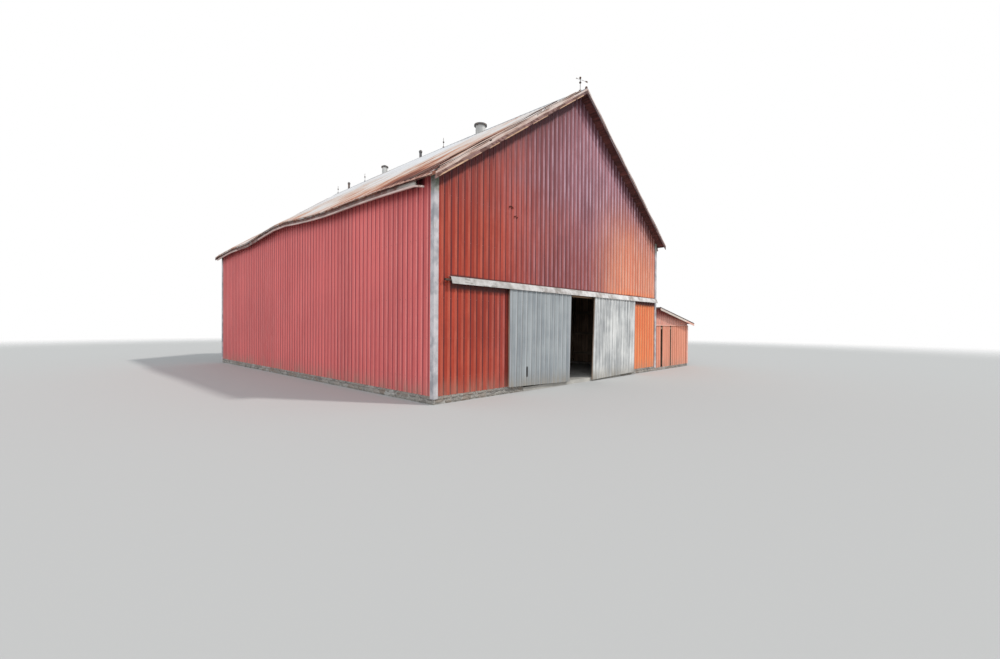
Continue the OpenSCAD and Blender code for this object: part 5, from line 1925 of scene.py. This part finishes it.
    def _ventilator_metal(self) -> bpy.types.Material:
        """Makes painted sheet for the stacks, dark at their caps and on the thin pipes.

        Returns:
            The material.
        """
        graph = Graph("ventilator_metal")
        _, y, z = graph.parts()
        dark: Value = 0.0
        for index, (centre, members) in enumerate(ventilator_points()):
            top = max(co.z for co in members)
            near = graph.span(graph.distance(y, centre), 0.5, 0.52, 1.0, 0.0)
            cap = 1.0 if index in THIN_PIPES else graph.span(z, top - 0.114, top - 0.110)
            dark = graph.add(dark, graph.times(near, cap))
        streaks = graph.noise(graph.stretched((9.0, 9.0, 1.4)), 1.0, 4.0)
        patches = graph.noise(graph.position, 8.0, 4.0, 0.65)
        white = graph.mix(graph.span(streaks, 0.36, 0.62), (0.42, 0.41, 0.39), (0.66, 0.65, 0.62))
        grey = graph.mix(graph.span(patches, 0.4, 0.62), (0.085, 0.085, 0.09), (0.17, 0.13, 0.11))
        color = graph.mix(graph.math("MINIMUM", dark, 1.0), white, grey)
        color = graph.mix(graph.span(patches, 0.62, 0.7, 0.0, 0.7), color, (0.25, 0.12, 0.065))
        rough = graph.span(patches, 0.3, 0.7, 0.45, 0.7)
        return graph.surface(color, rough, graph.bump(patches, 0.2, 0.004))

    def paint_nodes(self) -> None:
        """Gives each CAD node its material."""
        chosen = {
            "floor_slab": "slab_concrete", "footings": "field_stone", "threshold": "sill_concrete",
            "front_wall_left": "front_paint", "front_wall_right": "front_paint",
            "front_gable": "front_paint", "left_side_wall": "left_paint", "right_side_wall": "right_paint",
            "back_wall": "back_paint", "corner_boards": "corner_paint", "door_header": "header_wood",
            "frame_posts": "timber_z", "tie_beams": "timber_x", "knee_braces": "timber_z",
            "queen_posts": "timber_z", "purlins": "timber_y", "wall_plates": "timber_y",
            "side_girts": "timber_y", "end_girts": "timber_x", "rafters": "timber_x",
            "roof_left": "roof_rust", "roof_right": "roof_rust", "ridge_cap": "cap_zinc",
            "rake_boards": "rake_paint", "eave_fascia": "fascia_paint", "gutters": "gutter_paint",
            "ventilators": "ventilator_metal", "lightning_rods": "iron", "wind_vane": "iron",
            "door_track": "iron", "track_hood": "hood_paint", "left_door": "left_door_shaded_paint",
            "left_door_frame": "timber_z", "left_door_hangers": "iron", "right_door": "right_door_paint",
            "right_door_frame": "timber_z", "right_door_hangers": "iron", "shed_footing": "field_stone",
            "shed_front_upper": "shed_front_shaded_paint", "shed_front_panels": "shed_panel_paint",
            "shed_side_wall": "shed_side_paint", "shed_back_wall": "shed_back_paint",
            "shed_frame": "timber_z", "shed_roof": "shed_roof_rust", "shed_trim": "shed_trim_paint",
        }
        for node, name in chosen.items():
            materials = self.nodes[node].data.materials
            materials.clear()
            materials.append(self.materials[name])

    def dress(self) -> None:
        """Makes the pieces that the solids leave out."""
        made = self.materials
        surface = RoofSurface()
        RoofDressing(surface, made["roof_rust"], made["sheet_end_rust"], made["rake_strip_rust"],
                     made["gap_shade_rust"], made["shaded_strip_rust"], made["sliver_wood"],
                     made["screw_zinc"]).build()
        SidingDressing(surface, made["painted_screws"]).build()
        DoorDressing("left_door", LEFT_LEAF, made["screw_zinc"]).build()
        DoorDressing("right_door", RIGHT_LEAF, made["screw_zinc"]).build()
        HoodDressing(made["hood_paint"], made["screw_zinc"]).build()
        GableDamage(made["front_paint"]).build()
        RidgeDressing(surface, made["cap_zinc"], made["screw_zinc"], made["ventilator_metal"],
                      made["iron"]).build()
        FootStones(made["field_stone"]).build()
        LeanToDressing(made["shed_roof_rust"], made["screw_zinc"], made["shed_trim_paint"]).build()


@dataclass(frozen=True)
class Stage:
    """A pale floor that fades into a white background, and the lights."""

    floor_radius: float = 90.0
    floor_sides: int = 96
    floor_level: float = -0.002
    fade_from: float = 34.0
    fade_to: float = 62.0
    floor_tone: Color = (0.50, 0.50, 0.49)
    sun_from: Vector = field(default_factory=lambda: Vector((0.42, -0.66, 0.80)))
    sun_strength: float = 2.0
    fill_from: Vector = field(default_factory=lambda: Vector((-0.90, -0.55, 0.55)))
    fill_strength: float = 1.2
    sky_tone: Color = (0.90, 0.95, 1.0)
    world_strength: float = 0.62

    def build_floor(self) -> None:
        """Makes the floor disc, clear at its rim."""
        graph = Graph("stage_floor")
        x, y, _ = graph.parts()
        away = graph.math("SQRT", graph.add(graph.times(x, x), graph.times(y, y)))
        clear = graph.span(away, self.fade_from, self.fade_to)
        feeds = {"Base Color": self.floor_tone, "Roughness": 0.95, "Specular IOR Level": 0.1}
        floor_face = graph.node("BsdfPrincipled", feeds).outputs[0]
        glass = graph.node("BsdfTransparent", {}).outputs[0]
        blend = graph.node("MixShader", {0: clear, 1: floor_face, 2: glass})
        graph.node("OutputMaterial", {0: blend.outputs[0]})
        rim = [(x, y, 0.0) for x, y in circle(self.floor_radius, self.floor_sides)]
        mesh = bpy.data.meshes.new("stage_floor")
        mesh.from_pydata(rim, [], [tuple(range(self.floor_sides))])
        mesh.materials.append(graph.material)
        floor = bpy.data.objects.new("stage_floor", mesh)
        floor.location.z = self.floor_level
        bpy.context.scene.collection.objects.link(floor)

    def build_world(self) -> None:
        """Makes the world: white to the camera, a soft pale sky to everything else."""
        world = bpy.data.worlds.new("studio")
        world.use_nodes = True
        tree = world.node_tree
        tree.nodes.clear()
        rays = add_node(tree, "LightPath", {}).outputs
        feeds = {0: rays["Is Camera Ray"], 1: rays["Is Transmission Ray"]}
        seen = add_node(tree, "Math", feeds, operation="MAXIMUM").outputs[0]
        sky = add_node(tree, "Background", {0: self.sky_tone, 1: self.world_strength}).outputs[0]
        white = add_node(tree, "Background", {0: (1.0, 1.0, 1.0), 1: 1.0}).outputs[0]
        blend = add_node(tree, "MixShader", {0: seen, 1: sky, 2: white}).outputs[0]
        add_node(tree, "OutputWorld", {0: blend})
        bpy.context.scene.world = world

    def build_lights(self) -> None:
        """Makes the key from the front right and a weak fill from the front left."""
        lights = (
            ("key", self.sun_from, self.sun_strength, 4.0, (1.0, 0.975, 0.94)),
            ("fill", self.fill_from, self.fill_strength, 50.0, (0.93, 0.96, 1.0)),
        )
        for name, source, strength, spread, color in lights:
            light = bpy.data.lights.new(name, "SUN")
            light.energy = strength
            light.angle = math.radians(spread)
            light.color = color
            lamp = bpy.data.objects.new(name, light)
            lamp.rotation_euler = source.normalized().to_track_quat("Z", "Y").to_euler()
            lamp.location = source.normalized() * 40.0
            bpy.context.scene.collection.objects.link(lamp)

    def build(self) -> None:
        """Makes the whole stage."""
        self.build_floor()
        self.build_world()
        self.build_lights()
        scene = bpy.context.scene
        scene.view_settings.view_transform = "Standard"
        scene.view_settings.look = "None"


@dataclass(frozen=True)
class PhotoCamera:
    """The camera that the photograph was taken with, found from the barn's edges."""

    place: Point = (-13.183, -17.579, 1.970)
    yaw: float = 46.546
    pitch: float = -0.433
    roll: float = 0.377
    lens: float = 16.03
    sensor: float = 36.0

    def build(self) -> bpy.types.Object:
        """Makes the camera and sets it as the scene's.

        Returns:
            The camera object.
        """
        yaw, pitch, roll = (math.radians(a) for a in (self.yaw, self.pitch, self.roll))
        level = math.cos(pitch)
        forward = Vector((math.sin(yaw) * level, math.cos(yaw) * level, math.sin(pitch)))
        level_right = Vector((math.cos(yaw), -math.sin(yaw), 0.0))
        level_up = level_right.cross(forward)
        right = level_right * math.cos(roll) + level_up * math.sin(roll)
        up = level_up * math.cos(roll) - level_right * math.sin(roll)
        data = bpy.data.cameras.new("photo_camera")
        data.lens = self.lens
        data.sensor_width = self.sensor
        data.sensor_fit = "HORIZONTAL"
        data.clip_end = 400.0
        camera = bpy.data.objects.new("photo_camera", data)
        camera.matrix_world = Matrix((
            (right.x, up.x, -forward.x, self.place[0]),
            (right.y, up.y, -forward.y, self.place[1]),
            (right.z, up.z, -forward.z, self.place[2]),
            (0.0, 0.0, 0.0, 1.0),
        ))
        bpy.context.scene.collection.objects.link(camera)
        bpy.context.scene.camera = camera
        return camera


def main() -> None:
    """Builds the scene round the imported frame."""
    logging.basicConfig(level=logging.INFO, format="%(name)s: %(message)s")
    for leftover in list(bpy.data.objects):
        bpy.data.objects.remove(leftover)
    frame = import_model()
    barn = BarnScene(frame)
    barn.paint_nodes()
    barn.dress()
    Stage().build()
    PhotoCamera().build()
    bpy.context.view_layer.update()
    for piece in bpy.data.objects:
        if piece.type == "MESH":
            LOG.info("%s: %d faces", piece.name, len(piece.data.polygons))


if __name__ == "__main__":
    main()
